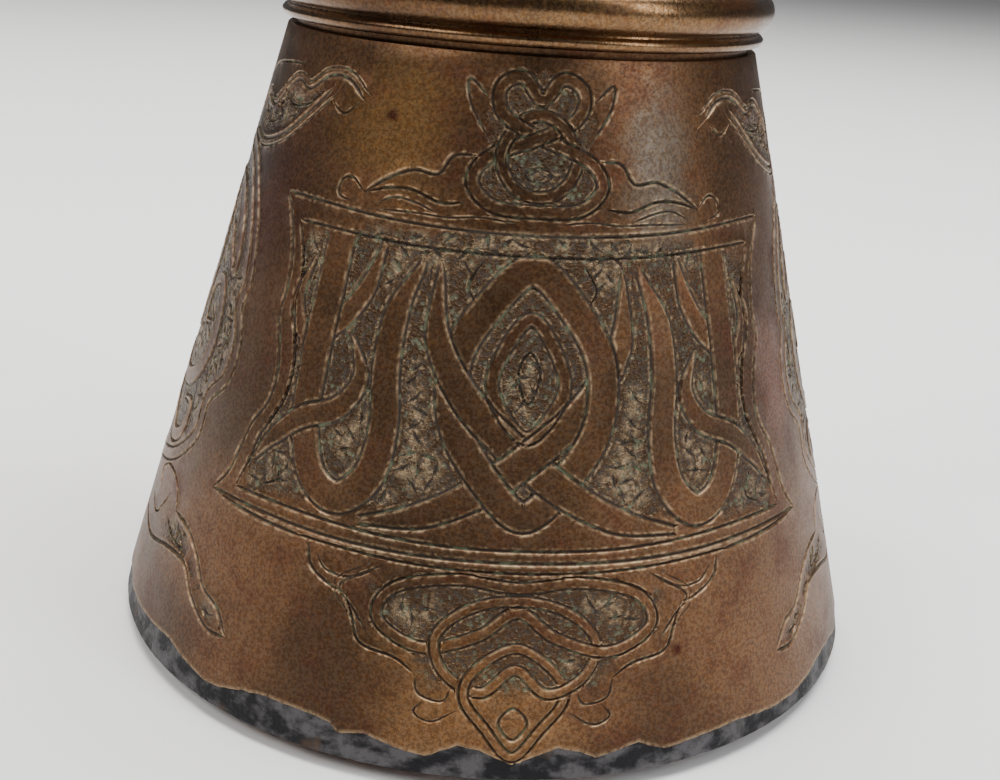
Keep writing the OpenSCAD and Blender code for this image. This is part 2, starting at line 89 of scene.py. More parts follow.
class Value:
    """One number of a shader, with arithmetic that adds Math nodes."""

    def __init__(self, graph: "Graph", socket: bpy.types.NodeSocket) -> None:
        """Wraps an output socket of the graph's tree."""
        self.graph = graph
        self.socket = socket

    def _math(self, operation: str, *others: "Value | float") -> "Value":
        """Adds a Math node with this value as its first input.

        Args:
            operation: the Math node's operation.
            others: its other inputs.

        Returns:
            The node's result.
        """
        inputs = {index: item for index, item in enumerate((self, *others))}
        return self.graph.value("ShaderNodeMath", {"operation": operation}, inputs)

    def __add__(self, other: "Value | float") -> "Value":
        """This value plus another."""
        return self._math("ADD", other)

    __radd__ = __add__

    def __sub__(self, other: "Value | float") -> "Value":
        """This value less another."""
        return self._math("SUBTRACT", other)

    def __rsub__(self, other: float) -> "Value":
        """A number less this value."""
        return self._math("MULTIPLY", -1.0)._math("ADD", other)

    def __mul__(self, other: "Value | float") -> "Value":
        """This value times another."""
        return self._math("MULTIPLY", other)

    __rmul__ = __mul__

    def size(self) -> "Value":
        """This value without its sign."""
        return self._math("ABSOLUTE")

    def fold(self) -> "Value":
        """A wave that climbs from 0 to 1 and back as this value grows by one."""
        return self._math("PINGPONG", 0.5) * 2.0

    def highest(self, other: "Value | float") -> "Value":
        """The larger of this value and another."""
        return self._math("MAXIMUM", other)

    def step(self, low: float, high: float) -> "Value":
        """A smooth ramp from 0 at low to 1 at high, which may be the lower of the two.

        Args:
            low: where the ramp is 0.
            high: where the ramp is 1.

        Returns:
            The ramp's value, from 0 to 1.
        """
        settings = {"interpolation_type": "SMOOTHSTEP", "clamp": True}
        limits = {"Value": self, "From Min": low, "From Max": high}
        if low > high:
            limits = {"Value": self, "From Min": high, "From Max": low}
            return 1.0 - self.graph.value("ShaderNodeMapRange", settings, limits)
        return self.graph.value("ShaderNodeMapRange", settings, limits)


class Graph:
    """The node tree of one material."""

    def __init__(self, name: str) -> None:
        """Makes an empty material of that name."""
        self.material = bpy.data.materials.new(name)
        self.material.use_nodes = True
        self.tree = self.material.node_tree
        self.tree.nodes.clear()
        self.coordinates = self.node("ShaderNodeTexCoord").outputs["Object"]

    def node(self, kind: str, settings: dict | None = None, inputs: dict | None = None) -> bpy.types.Node:
        """Adds any node.

        Args:
            kind: the node's type.
            settings: the node's own settings, set before its inputs.
            inputs: numbers, colours or links for its sockets, by name or index.

        Returns:
            The new node.
        """
        made = self.tree.nodes.new(kind)
        for name, setting in (settings or {}).items():
            setattr(made, name, setting)
        for name, item in (inputs or {}).items():
            self.plug(made.inputs[name], item)
        return made

    def plug(self, socket: bpy.types.NodeSocket, item: object) -> None:
        """Links an item to a socket, or sets the socket to it.

        Args:
            socket: the socket to feed.
            item: a Value, an output socket, a number or a colour.
        """
        if isinstance(item, Value):
            item = item.socket
        if isinstance(item, bpy.types.NodeSocket):
            self.tree.links.new(item, socket)
        elif isinstance(item, tuple) and len(socket.default_value) == 4:
            socket.default_value = (*item, 1.0)
        else:
            socket.default_value = item

    def value(self, kind: str, settings: dict | None = None, inputs: dict | None = None,
              output: str | int = 0) -> Value:
        """Adds a node and wraps one of its outputs.

        Args:
            kind: the node's type.
            settings: the node's own settings.
            inputs: what its sockets get.
            output: the output's name or index.

        Returns:
            The wrapped output.
        """
        return Value(self, self.node(kind, settings, inputs).outputs[output])

    def moved(self, scale: Sequence[float], turn: Sequence[float] = (0, 0, 0)) -> bpy.types.NodeSocket:
        """The object's coordinates, turned and scaled."""
        inputs = {"Vector": self.coordinates, "Scale": scale, "Rotation": turn}
        return self.node("ShaderNodeMapping", {}, inputs).outputs[0]

    def cloud(self, size: float, detail: float = 4, roughness: float = 0.55,
              stretch: Sequence[float] = (1, 1, 1)) -> Value:
        """Soft noise with features of a given size in millimetres.

        Args:
            size: how large a feature is.
            detail: how many finer layers it has.
            roughness: how strong the finer layers are.
            stretch: how much the features are squeezed along each axis.

        Returns:
            A value around 0.5.
        """
        vector = self.moved(stretch)
        inputs = {"Vector": vector, "Scale": 1 / (size * MM), "Detail": detail, "Roughness": roughness}
        return self.value("ShaderNodeTexNoise", {}, inputs, "Fac")

    def cells(self, size: float, feature: str = "F1", randomness: float = 1.0) -> Value:
        """The distance inside cells of a given size in millimetres."""
        inputs = {"Vector": self.coordinates, "Scale": 1 / (size * MM), "Randomness": randomness}
        return self.value("ShaderNodeTexVoronoi", {"feature": feature}, inputs, "Distance")

    def painted(self, name: str) -> Value:
        """A number that a piece's vertices carry."""
        return self.value("ShaderNodeAttribute", {"attribute_name": name}, {}, "Fac")

    def height(self) -> Value:
        """The height above the floor, in millimetres."""
        split = self.value("ShaderNodeSeparateXYZ", {}, {"Vector": self.coordinates}, "Z")
        return split * (1 / MM)

    def turn(self) -> Value:
        """Turns round the axis."""
        split = self.node("ShaderNodeSeparateXYZ", {}, {"Vector": self.coordinates})
        inputs = {0: split.outputs["X"], 1: split.outputs["Y"]}
        return self.value("ShaderNodeMath", {"operation": "ARCTAN2"}, inputs) * (1 / math.tau)

    def near(self, place: Vector, stretch: Sequence[float] = (1, 1, 1)) -> Value:
        """The distance from a place on the object, in millimetres.

        Args:
            place: the place, in metres.
            stretch: how much each axis counts.

        Returns:
            The distance.
        """
        offset = self.node("ShaderNodeVectorMath", {"operation": "SUBTRACT"}, {0: self.coordinates, 1: place})
        scaled = self.node("ShaderNodeVectorMath", {"operation": "MULTIPLY"},
                           {0: offset.outputs[0], 1: stretch})
        length = self.value("ShaderNodeVectorMath", {"operation": "LENGTH"}, {0: scaled.outputs[0]}, "Value")
        return length * (1 / MM)

    def mix(self, factor: Value | float, first: object, second: object,
            blend: str = "MIX") -> bpy.types.NodeSocket:
        """Mixes two colours.

        Args:
            factor: how much of the second.
            first: the first colour.
            second: the second colour.
            blend: how they are mixed.

        Returns:
            The mixed colour.
        """
        made = self.node("ShaderNodeMix", {"data_type": "RGBA", "blend_type": blend})
        self.plug(made.inputs[0], factor)
        self.plug(made.inputs[6], first)
        self.plug(made.inputs[7], second)
        return made.outputs[2]

    def bump(self, height: Value, depth: float, strength: float = 1.0,
             under: object = None) -> bpy.types.NodeSocket:
        """Turns a height into a normal.

        Args:
            height: the height, from 0 to 1.
            depth: what 1 stands for, in millimetres.
            strength: how much of it shows.
            under: a normal that it adds to.

        Returns:
            The normal.
        """
        inputs = {"Height": height, "Distance": depth * MM, "Strength": strength}
        if under is not None:
            inputs["Normal"] = under
        return self.node("ShaderNodeBump", {}, inputs).outputs[0]

    def surface(self, **inputs: object) -> bpy.types.Material:
        """Ends the tree in a Principled surface.

        Args:
            inputs: its sockets, with underscores for spaces.

        Returns:
            The finished material.
        """
        named = {name.replace("_", " "): item for name, item in inputs.items()}
        shader = self.node("ShaderNodeBsdfPrincipled", {}, named)
        output = self.node("ShaderNodeOutputMaterial")
        self.tree.links.new(shader.outputs[0], output.inputs["Surface"])
        return self.material


# ---------------------------------------------------------------------------
# Finishes
# ---------------------------------------------------------------------------


@dataclass(frozen=True)
class Patch:
    """A place on the metal that is painted in another colour; among them are tones, stains and one painted
    highlight.
    """

    turn: float
    height: float
    radius: float
    reach: float
    colour: Colour
    strength: float = 0.7
    tall: float = 1.0

    def place(self) -> Vector:
        """The patch's centre, in metres."""
        angle = math.radians(self.turn)
        return Vector((math.sin(angle), -math.cos(angle), 0)) * self.radius * MM + Vector((0, 0,
                                                                                           self.height * MM))


@dataclass(frozen=True)
class Band:
    """A zigzag cut round a piece between two lines."""

    low: float
    high: float
    repeats: int
    line: float = 0.55

    def drawn(self, g: Graph) -> Value:
        """Where the band is cut, from 0 to 1.

        Args:
            g: the tree that the nodes go into.

        Returns:
            The value.
        """
        height = g.height()
        part = (height - self.low) * (1 / (self.high - self.low))
        slope = self.line / (self.high - self.low) * 1.3
        zigzag = ((g.turn() * self.repeats).fold() - part).size().step(slope, slope * 0.35)
        within = (part - 0.5).size().step(0.5, 0.49)
        rims = ((part - 0.5).size() - 0.5).size().step(self.line / (self.high - self.low), 0.0)
        return (zigzag * within).highest(rims)


@dataclass(frozen=True)
class AgedBrass:
    """Old brass sheet: a brown skin that is worn golden, with dark speckle and dirt in the cuts; rubbed rims
    and some patches also carry a painted highlight.
    """

    name: str = "aged_brass"
    golden: Colour = (0.158, 0.09, 0.05)
    brown: Colour = (0.075, 0.047, 0.029)
    shadow: Colour = (0.045, 0.031, 0.02)
    russet: Colour = (0.095, 0.04, 0.027)
    dirt: Colour = (0.02, 0.015, 0.011)
    verdigris: Colour = (0.10, 0.125, 0.075)
    # Rubbed metal on the rims of the cuts and at the ragged lower edge, which also serves as a painted
    # highlight there
    rubbed_and_highlight: Colour = (0.42, 0.31, 0.19)
    roughness: float = 0.46
    engraved: bool = False
    patches: tuple[Patch, ...] = ()
    bands: tuple[Band, ...] = ()

    def build(self) -> bpy.types.Material:
        """Builds the finish.

        Returns:
            Its material.
        """
        g = Graph(self.name)
        broad = g.cloud(38, 3, 0.5)
        middle = g.cloud(7, 5, 0.6)
        fine = g.cloud(0.9, 3, 0.65)
        grain = g.cloud(0.45, 2, 0.7)
        colour = g.mix(broad.step(0.35, 0.65), self.brown, self.golden)
        colour = g.mix(middle.step(0.46, 0.72) * 0.6, colour, self.russet)
        for patch in self.patches:
            wander = g.near(patch.place(), (1, 1, 1 / patch.tall)) + (middle - 0.5) * (patch.reach * 0.9)
            colour = g.mix(wander.step(patch.reach, patch.reach * 0.25) * patch.strength, colour,
                           patch.colour)
        colour = g.mix(fine.step(0.4, 0.66) * 0.7, colour, (0.62, 0.5, 0.36), "SOFT_LIGHT")
        mottle = g.cloud(0.6, 3, 0.75)
        colour = g.mix(mottle.step(0.57, 0.42) * 0.7, colour, (0.5, 0.42, 0.38), "MULTIPLY")
        speckle = grain.step(0.54, 0.7) * g.cloud(12, 2).step(0.25, 0.6)
        colour = g.mix(speckle * 0.6, colour, self.dirt)
        rough = self.roughness + (middle - 0.5) * 0.22 + (fine - 0.5) * 0.16 + speckle * 0.12
        relief = (fine * 0.5) + (grain * 0.25) + g.cloud(3.2, 2) * 0.6
        normal = g.bump(relief, 0.07, 0.7)
        metal = 1.0 - speckle * 0.35
        if self.engraved:
            cut = g.painted("cut")
            ground = g.painted("ground")
            punch = g.cells(0.95)
            hatch = g.cells(0.62, "DISTANCE_TO_EDGE")
            shade = (ground * punch.step(0.62, 0.2) * 0.75).highest(cut.step(0.15, 0.85))
            crust = g.mix(g.cloud(2.2, 3).step(0.5, 0.66), self.dirt, self.verdigris)
            # The rims of the cuts and the ragged lower edge are painted brighter: rubbed metal with a painted
            # highlight
            rim_highlight_and_wear = g.painted("burr").highest(g.painted("edge"))
            colour = g.mix(ground * 0.65, colour, self.shadow)
            colour = g.mix(rim_highlight_and_wear * fine.step(0.3, 0.6) * 0.55, colour, self.rubbed_and_highlight)
            colour = g.mix(shade * 0.86, colour, crust)
            rough = rough + shade * 0.2
            metal = metal * (1.0 - shade * 0.7)
            normal = g.bump(ground * (punch.step(0.55, 0.25) + hatch.step(0.2, 0.0) * 0.5), -0.22, 0.8,
                            normal)
        for band in self.bands:
            cut = band.drawn(g)
            crust = g.mix(g.cloud(2.2, 3).step(0.5, 0.66), self.dirt, self.verdigris)
            colour = g.mix(cut * 0.8, colour, crust)
            metal = metal * (1.0 - cut * 0.6)
            normal = g.bump(cut, -0.3, 0.9, normal)
        return g.surface(Base_Color=colour, Roughness=rough, Metallic=metal, Normal=normal)


@dataclass(frozen=True)
class GreySolder:
    """Old tin solder: dull blue-grey with black runs and rusty stains."""

    name: str = "grey_solder"

    def build(self) -> bpy.types.Material:
        """Builds the finish.

        Returns:
            Its material.
        """
        g = Graph(self.name)
        blotch = g.cloud(5, 4, 0.6, (1, 1, 1.6))
        fine = g.cloud(0.8, 3, 0.7)
        colour = g.mix(blotch.step(0.4, 0.62), (0.012, 0.012, 0.014), (0.085, 0.082, 0.085))
        colour = g.mix(g.cloud(9, 3).step(0.56, 0.7) * 0.6, colour, (0.10, 0.062, 0.038))
        colour = g.mix(fine.step(0.5, 0.75) * 0.4, colour, (0.02, 0.02, 0.02))
        normal = g.bump(g.cloud(1.6, 4, 0.65) + fine * 0.4, 0.25, 0.8)
        return g.surface(Base_Color=colour, Roughness=0.42 + fine * 0.3, Metallic=0.75, Normal=normal)


@dataclass(frozen=True)
class DarkCopper:
    """Fire-darkened copper of the pan and its washer."""

    name: str = "dark_copper"

    def build(self) -> bpy.types.Material:
        """Builds the finish.

        Returns:
            Its material.
        """
        g = Graph(self.name)
        blotch = g.cloud(14, 4, 0.6)
        fine = g.cloud(0.7, 3, 0.7)
        colour = g.mix(blotch.step(0.38, 0.64), (0.11, 0.065, 0.045), (0.34, 0.17, 0.10))
        colour = g.mix(fine.step(0.5, 0.72) * 0.5, colour, (0.04, 0.03, 0.025))
        normal = g.bump(fine + g.cloud(4, 3) * 0.8, 0.08, 0.7)
        return g.surface(Base_Color=colour, Roughness=0.5 + (fine - 0.5) * 0.3, Metallic=0.85, Normal=normal)


@dataclass(frozen=True)
class PaleFloor:
    """The plain surface that the pot stands on."""

    name: str = "pale_floor"

    def build(self) -> bpy.types.Material:
        """Builds the finish.

        Returns:
            Its material.
        """
        g = Graph(self.name)
        tone = g.cloud(180, 2, 0.4)
        colour = g.mix(tone.step(0.3, 0.7) * 0.25, (0.80, 0.79, 0.79), (0.76, 0.755, 0.76))
        return g.surface(Base_Color=colour, Roughness=0.7)


# ---------------------------------------------------------------------------
# Drawing on metal
# ---------------------------------------------------------------------------


@dataclass(frozen=True)
class Cone:
    """The outside of the lower body, and the flat sheet that it unrolls to, in millimetres."""

    foot_r: float
    lean: float

    @property
    def slant(self) -> float:
        """Length along the side for each millimetre of height."""
        return math.hypot(1, self.lean)

    @property
    def spread(self) -> float:
        """Turn on the flat sheet for each unit of turn round the axis."""
        return self.lean / self.slant

    @property
    def apex(self) -> float:
        """Height at which the sides would meet."""
        return self.foot_r / self.lean

    def unroll(self, turn: np.ndarray, height: np.ndarray) -> np.ndarray:
        """Places on the flat sheet.

        Args:
            turn: degrees round the axis from -Y towards +X.
            height: height above the floor.

        Returns:
            Their x and y on the sheet.
        """
        reach = (self.apex - np.asarray(height, float)) * self.slant
        angle = np.radians(np.asarray(turn, float)) * self.spread
        return np.stack([reach * np.sin(angle), -reach * np.cos(angle)], -1)

    def roll(self, flat: np.ndarray, depth: np.ndarray) -> np.ndarray:
        """Places in space, sunk below the surface.

        Args:
            flat: places on the sheet.
            depth: how far each is sunk.

        Returns:
            Their x, y and z.
        """
        reach = np.hypot(flat[:, 0], flat[:, 1])
        turn = np.arctan2(flat[:, 0], -flat[:, 1]) / self.spread
        height = self.apex - reach / self.slant
        radius = self.foot_r - self.lean * height - depth / self.slant
        height = height - depth * self.lean / self.slant
        return np.stack([radius * np.sin(turn), -radius * np.cos(turn), height], -1)


def smooth_path(places: np.ndarray, closed: bool, step: float) -> np.ndarray:
    """A smooth curve through places on the sheet, with evenly spaced points.

    Args:
        places: the places, in order.
        closed: whether the curve returns to its start.
        step: the spacing.

    Returns:
        The curve's points. A closed curve does not repeat its first.
    """
    if closed:
        padded = np.concatenate([places[-1:], places, places[:2]])
    else:
        padded = np.concatenate([2 * places[:1] - places[1:2], places, 2 * places[-1:] - places[-2:-1]])
    part = np.linspace(0, 1, 14, endpoint=False)[:, None]
    pieces = []
    for a, b, c, d in zip(padded, padded[1:], padded[2:], padded[3:]):
        pieces.append(0.5 * (2 * b + (c - a) * part + (2 * a - 5 * b + 4 * c - d) * part**2
                             + (3 * b - a - 3 * c + d) * part**3))
    fine = np.concatenate([*pieces, places[:1] if closed else places[-1:]])
    along = np.concatenate([[0], np.cumsum(np.hypot(*np.diff(fine, axis=0).T))])
    count = max(3, int(round(along[-1] / step)) + 1)
    marks = np.linspace(0, along[-1], count)
    even = np.stack([np.interp(marks, along, fine[:, 0]), np.interp(marks, along, fine[:, 1])], -1)
    return even[:-1] if closed else even


def normals_of(path: np.ndarray, closed: bool) -> np.ndarray:
    """The direction to the left of a curve at each of its points.

    Args:
        path: the curve's points.
        closed: whether it returns to its start.

    Returns:
        One unit direction for each point.
    """
    if closed:
        ahead = np.roll(path, -1, 0) - np.roll(path, 1, 0)
    else:
        ahead = np.gradient(path, axis=0)
    ahead /= np.maximum(np.hypot(*ahead.T), 1e-9)[:, None]
    return np.stack([-ahead[:, 1], ahead[:, 0]], -1)


@dataclass
class Cut:
    """One stroke of the graver: its middle line on the sheet and its width at each point."""

    path: np.ndarray
    width: np.ndarray
    depth: float
    closed: bool = False
    chip: bool = False


@dataclass
class Strap:
    """A band of plain metal between two cuts, which may pass over and under others."""

    path: np.ndarray
    half: np.ndarray
    closed: bool
    line: float
    depth: float
    hidden: list[tuple[int, "Strap", int]] = field(default_factory=list)

    def length_to(self, index: int, other: int) -> float:
        """The distance along the strap between two of its points.

        Args:
            index: one point.
            other: the other point.

        Returns:
            The distance, the shorter way round a closed strap.
        """
        step = float(np.hypot(*(self.path[1] - self.path[0])))
        gap = abs(index - other)
        if self.closed:
            gap = min(gap, len(self.path) - gap)
        return gap * step

    def cuts(self) -> list[Cut]:
        """The strap's two edges, broken where it passes under another strap.

        Returns:
            The edges as cuts.
        """
        sides = normals_of(self.path, self.closed) * self.half[:, None]
        found = []
        for edge in (self.path + sides, self.path - sides):
            shown = np.ones(len(edge), bool)
            for own, over, crossing in self.hidden:
                reach = 2.2 * (over.half.max() + self.half.max()) + 1
                mine = np.array([self.length_to(own, i) < reach for i in range(len(edge))])
                others = np.array([over.length_to(crossing, i) < reach for i in range(len(over.path))])
                gaps = np.hypot(*(edge[:, None] - over.path[others][None]).transpose(2, 0, 1))
                covered = (gaps - over.half[others][None]).min(1) < 0.12
                shown &= ~(mine & covered)
            found += broken(edge, shown, self.closed, self.line, self.depth)
        return found


def broken(path: np.ndarray, shown: np.ndarray, closed: bool, width: float, depth: float) -> list[Cut]:
    """The shown runs of a line as separate cuts.

    Args:
        path: the line.
        shown: which of its points show.
        closed: whether it returns to its start.
        width: how wide the cuts are.
        depth: how deep they are.

    Returns:
        One cut for each run.
    """
    if shown.all():
        return [Cut(path, np.full(len(path), width), depth, closed)]
    if closed:
        start = int(np.argmin(shown))
        path, shown = np.roll(path, -start, 0), np.roll(shown, -start)
    runs = []
    edges = np.flatnonzero(np.diff(np.concatenate([[0], shown.astype(int), [0]])))
    for first, last in zip(edges[::2], edges[1::2]):
        if last - first > 2:
            runs.append(Cut(path[first:last], np.full(last - first, width), depth))
    return runs


class Drawing:
    """What is engraved on one panel, drawn in degrees from its middle and millimetres of height."""

    def __init__(self, cone: Cone, middle: float, step: float = 0.6) -> None:
        """Starts an empty panel.

        Args:
            cone: the surface that it is drawn on.
            middle: the turn of the panel's middle.
            step: the spacing of the points of its lines.
        """
        self.cone = cone
        self.middle = middle
        self.step = step
        self.cuts: list[Cut] = []
        self.straps: list[Strap] = []
        self.fields: list[np.ndarray] = []

    def flat(self, points: Sequence[Point], mirrored: bool = False) -> np.ndarray:
        """Panel points on the unrolled sheet.

        Args:
            points: degrees from the middle, and heights.
            mirrored: whether left and right change places.

        Returns:
            Their x and y on the sheet.
        """
        array = np.asarray(points, float)
        side = -1 if mirrored else 1
        return self.cone.unroll(self.middle + side * array[:, 0], array[:, 1])

    def line(self, points: Sequence[Point], width: float = 0.9, depth: float = 0.4, closed: bool = False,
             both: bool = True, taper: float = 2.0, twin: float = 0.0) -> None:
        """Draws a line, and its mirror image if asked.

        Args:
            points: places that it passes through.
            width: its width.
            depth: its depth.
            closed: whether it returns to its start.
            both: whether its mirror image is drawn too.
            taper: over what length an open line's ends narrow.
            twin: how far to the left of it a finer second line runs, if at all.
        """
        for mirrored in ((False, True) if both else (False,)):
            path = smooth_path(self.flat(points, mirrored), closed, self.step)
            widths = np.full(len(path), width)
            if not closed:
                ends = np.minimum(np.arange(len(path)), np.arange(len(path))[::-1]) * self.step
                widths *= np.clip(0.3 + 0.7 * ends / taper, 0, 1)
            self.cuts.append(Cut(path, widths, depth, closed))
            if twin:
                beside = path + normals_of(path, closed) * twin * (-1 if mirrored else 1)
                self.cuts.append(Cut(beside, widths * 0.6, depth * 0.6, closed))

    def strap(self, points: Sequence[Point], half: Sequence[float], closed: bool = False, both: bool = True,
              line: float = 0.85, depth: float = 0.4) -> None:
        """Draws a strap, and its mirror image if asked.

        Args:
            points: places that its middle passes through.
            half: half its width, spread evenly along it.
            closed: whether it returns to its start.
            both: whether its mirror image is drawn too.
            line: the width of its edge lines.
            depth: their depth.
        """
        for mirrored in ((False, True) if both else (False,)):
            path = smooth_path(self.flat(points, mirrored), closed, self.step)
            part = np.linspace(0, 1, len(path))
            widths = np.interp(part, np.linspace(0, 1, len(half)), half)
            self.straps.append(Strap(path, widths, closed, line, depth))

    def weave(self) -> None:
        """Finds where the straps cross and lets them pass over and under in turn."""
        meetings: list[dict] = []
        for i, first in enumerate(self.straps):
            for j in range(i, len(self.straps)):
                second = self.straps[j]
                for a, b in crossings(first, second, i == j):
                    meetings.append({"places": [(i, a), (j, b)], "over": None})
        for i, strap in enumerate(self.straps):
            visits = []
            for meeting in meetings:
                for index, (owner, at) in enumerate(meeting["places"]):
                    if owner == i:
                        visits.append((at, index, meeting))
            on_top = True
            for _, index, meeting in sorted(visits, key=lambda visit: visit[0]):
                if meeting["over"] is None:
                    meeting["over"] = index if on_top else 1 - index
                on_top = meeting["over"] != index
        for meeting in meetings:
            over = meeting["places"][meeting["over"]]
            under = meeting["places"][1 - meeting["over"]]
            self.straps[under[0]].hidden.append((under[1], self.straps[over[0]], over[1]))
        for strap in self.straps:
            self.cuts += strap.cuts()

    def on_strap(self, places: np.ndarray, margin: float) -> np.ndarray:
        """Which places lie on a strap or within a margin of one.

        Args:
            places: places on the sheet.
            margin: how far off a strap still counts.

        Returns:
            True for each place that does.
        """
        hit = np.zeros(len(places), bool)
        for strap in self.straps:
            low = strap.path.min(0) - strap.half.max() - abs(margin)
            high = strap.path.max(0) + strap.half.max() + abs(margin)
            near = np.flatnonzero(((places > low) & (places < high)).all(1))
            for part in np.array_split(near, max(1, len(near) // 4000)):
                gaps = np.hypot(*(places[part][:, None] - strap.path[None]).transpose(2, 0, 1))
                hit[part] |= (gaps - strap.half[None]).min(1) < margin if len(part) else False
        return hit

    def in_fields(self, places: np.ndarray) -> np.ndarray:
        """Which places lie inside the panel's sunk fields.

        Args:
            places: places on the sheet.

        Returns:
            True for each place that does.
        """
        hit = np.zeros(len(places), bool)
        for outline in self.fields:
            hit |= inside(places, outline)
        return hit

    def chips(self, seed: int, spacing: float, margin: float, width: float = 1.25) -> None:
        """Fills the fields between the straps with slanting wedge cuts in zigzag rows.

        Args:
            seed: fixes the random draws.
            spacing: the distance between the cuts.
            margin: how far they keep from a strap's edge.
            width: how wide they are at the thick end.
        """
        draws = random.Random(seed)
        lines = [(*point, strap, index) for strap in self.straps for index,
                 point in enumerate(strap.path.tolist())]
        tree = tree_of([line[:2] for line in lines])
        for outline in self.fields:
            low, high = outline.min(0), outline.max(0)
            for row, y in enumerate(np.arange(low[1], high[1], spacing * 0.8)):
                for column, x in enumerate(np.arange(low[0] + (row % 2) * spacing / 2, high[0], spacing)):
                    spot = np.array([x + draws.uniform(-0.45, 0.45), y + draws.uniform(-0.45, 0.45)])
                    _, _, strap, at = lines[tree.find((*spot, 0))[1]]
                    along = strap.path[min(at + 1, len(strap.path) - 1)] - strap.path[at - 1 if at else 0]
                    lean = math.atan2(along[1], along[0]) + (-1) ** (row + column) * draws.uniform(0.6, 1.15)
                    length = draws.uniform(2.0, 3.3)
                    angles = lean + draws.uniform(-0.35, 0.35) * np.linspace(-1, 1, 5)
                    steps = np.stack([np.cos(angles), np.sin(angles)], -1) * length / 5
                    path = spot + np.cumsum(steps, 0) - steps.sum(0) / 2
                    if not inside(path, outline).all() or self.on_strap(path, margin).any():
                        continue
                    widths = width * draws.uniform(0.75, 1.1) * np.array([0.25, 0.8, 1.0, 0.7, 0.2])
                    self.cuts.append(Cut(path, widths, 0.3, chip=True))


def crossings(first: Strap, second: Strap, same: bool) -> list[tuple[int, int]]:
    """Where the middle lines of two straps cross.

    Args:
        first: one strap.
        second: the other, or the same one again.
        same: whether they are the same.

    Returns:
        Pairs of point indices, one on each strap.
    """
    a, b = first.path, second.path
    a2 = np.roll(a, -1, 0) if first.closed else a[1:]
    b2 = np.roll(b, -1, 0) if second.closed else b[1:]
    a1, b1 = a[:len(a2)], b[:len(b2)]
    r, s = a2 - a1, b2 - b1
    gap = b1[None] - a1[:, None]
    cross = r[:, None, 0] * s[None, :, 1] - r[:, None, 1] * s[None, :, 0]
    cross = np.where(np.abs(cross) < 1e-9, 1e-9, cross)
    t = (gap[..., 0] * s[None, :, 1] - gap[..., 1] * s[None, :, 0]) / cross
    u = (gap[..., 0] * r[:, None, 1] - gap[..., 1] * r[:, None, 0]) / cross
    hits = np.argwhere((t >= 0) & (t < 1) & (u >= 0) & (u < 1))
    if same:
        return [(int(i), int(j)) for i, j in hits if j > i + 3 and not (first.closed and j - i > len(a) - 4)]
    return [(int(i), int(j)) for i, j in hits]


def both_halves(half: Sequence[Point]) -> list[Point]:
    """Closes half an outline, which starts and ends on the middle line, with its mirror image.

    Args:
        half: the half that is given.

    Returns:
        The whole outline.
    """
    return [*half, *((-u, z) for u, z in half[-2:0:-1])]


def tree_of(places: Sequence[Sequence[float]]) -> kdtree.KDTree:
    """A search tree over places on the sheet.

    Args:
        places: their x and y.

    Returns:
        The tree, ready to be searched.
    """
    tree = kdtree.KDTree(len(places))
    for index, (x, y) in enumerate(places):
        tree.insert((x, y, 0), index)
    tree.balance()
    return tree


def inside(places: np.ndarray, outline: np.ndarray) -> np.ndarray:
    """Which places lie inside a closed outline.

    Args:
        places: places on the sheet.
        outline: the outline's corners, in order.

    Returns:
        True for each place that does.
    """
    hit = np.zeros(len(places), bool)
    x, y = places[:, 0], places[:, 1]
    for (x1, y1), (x2, y2) in zip(outline, np.roll(outline, -1, 0)):
        spans = (y1 > y) != (y2 > y)
        hit ^= spans & (x < (x2 - x1) * (y - y1) / (y2 - y1 + 1e-12) + x1)
    return hit


# ---------------------------------------------------------------------------
# The ornament
# ---------------------------------------------------------------------------


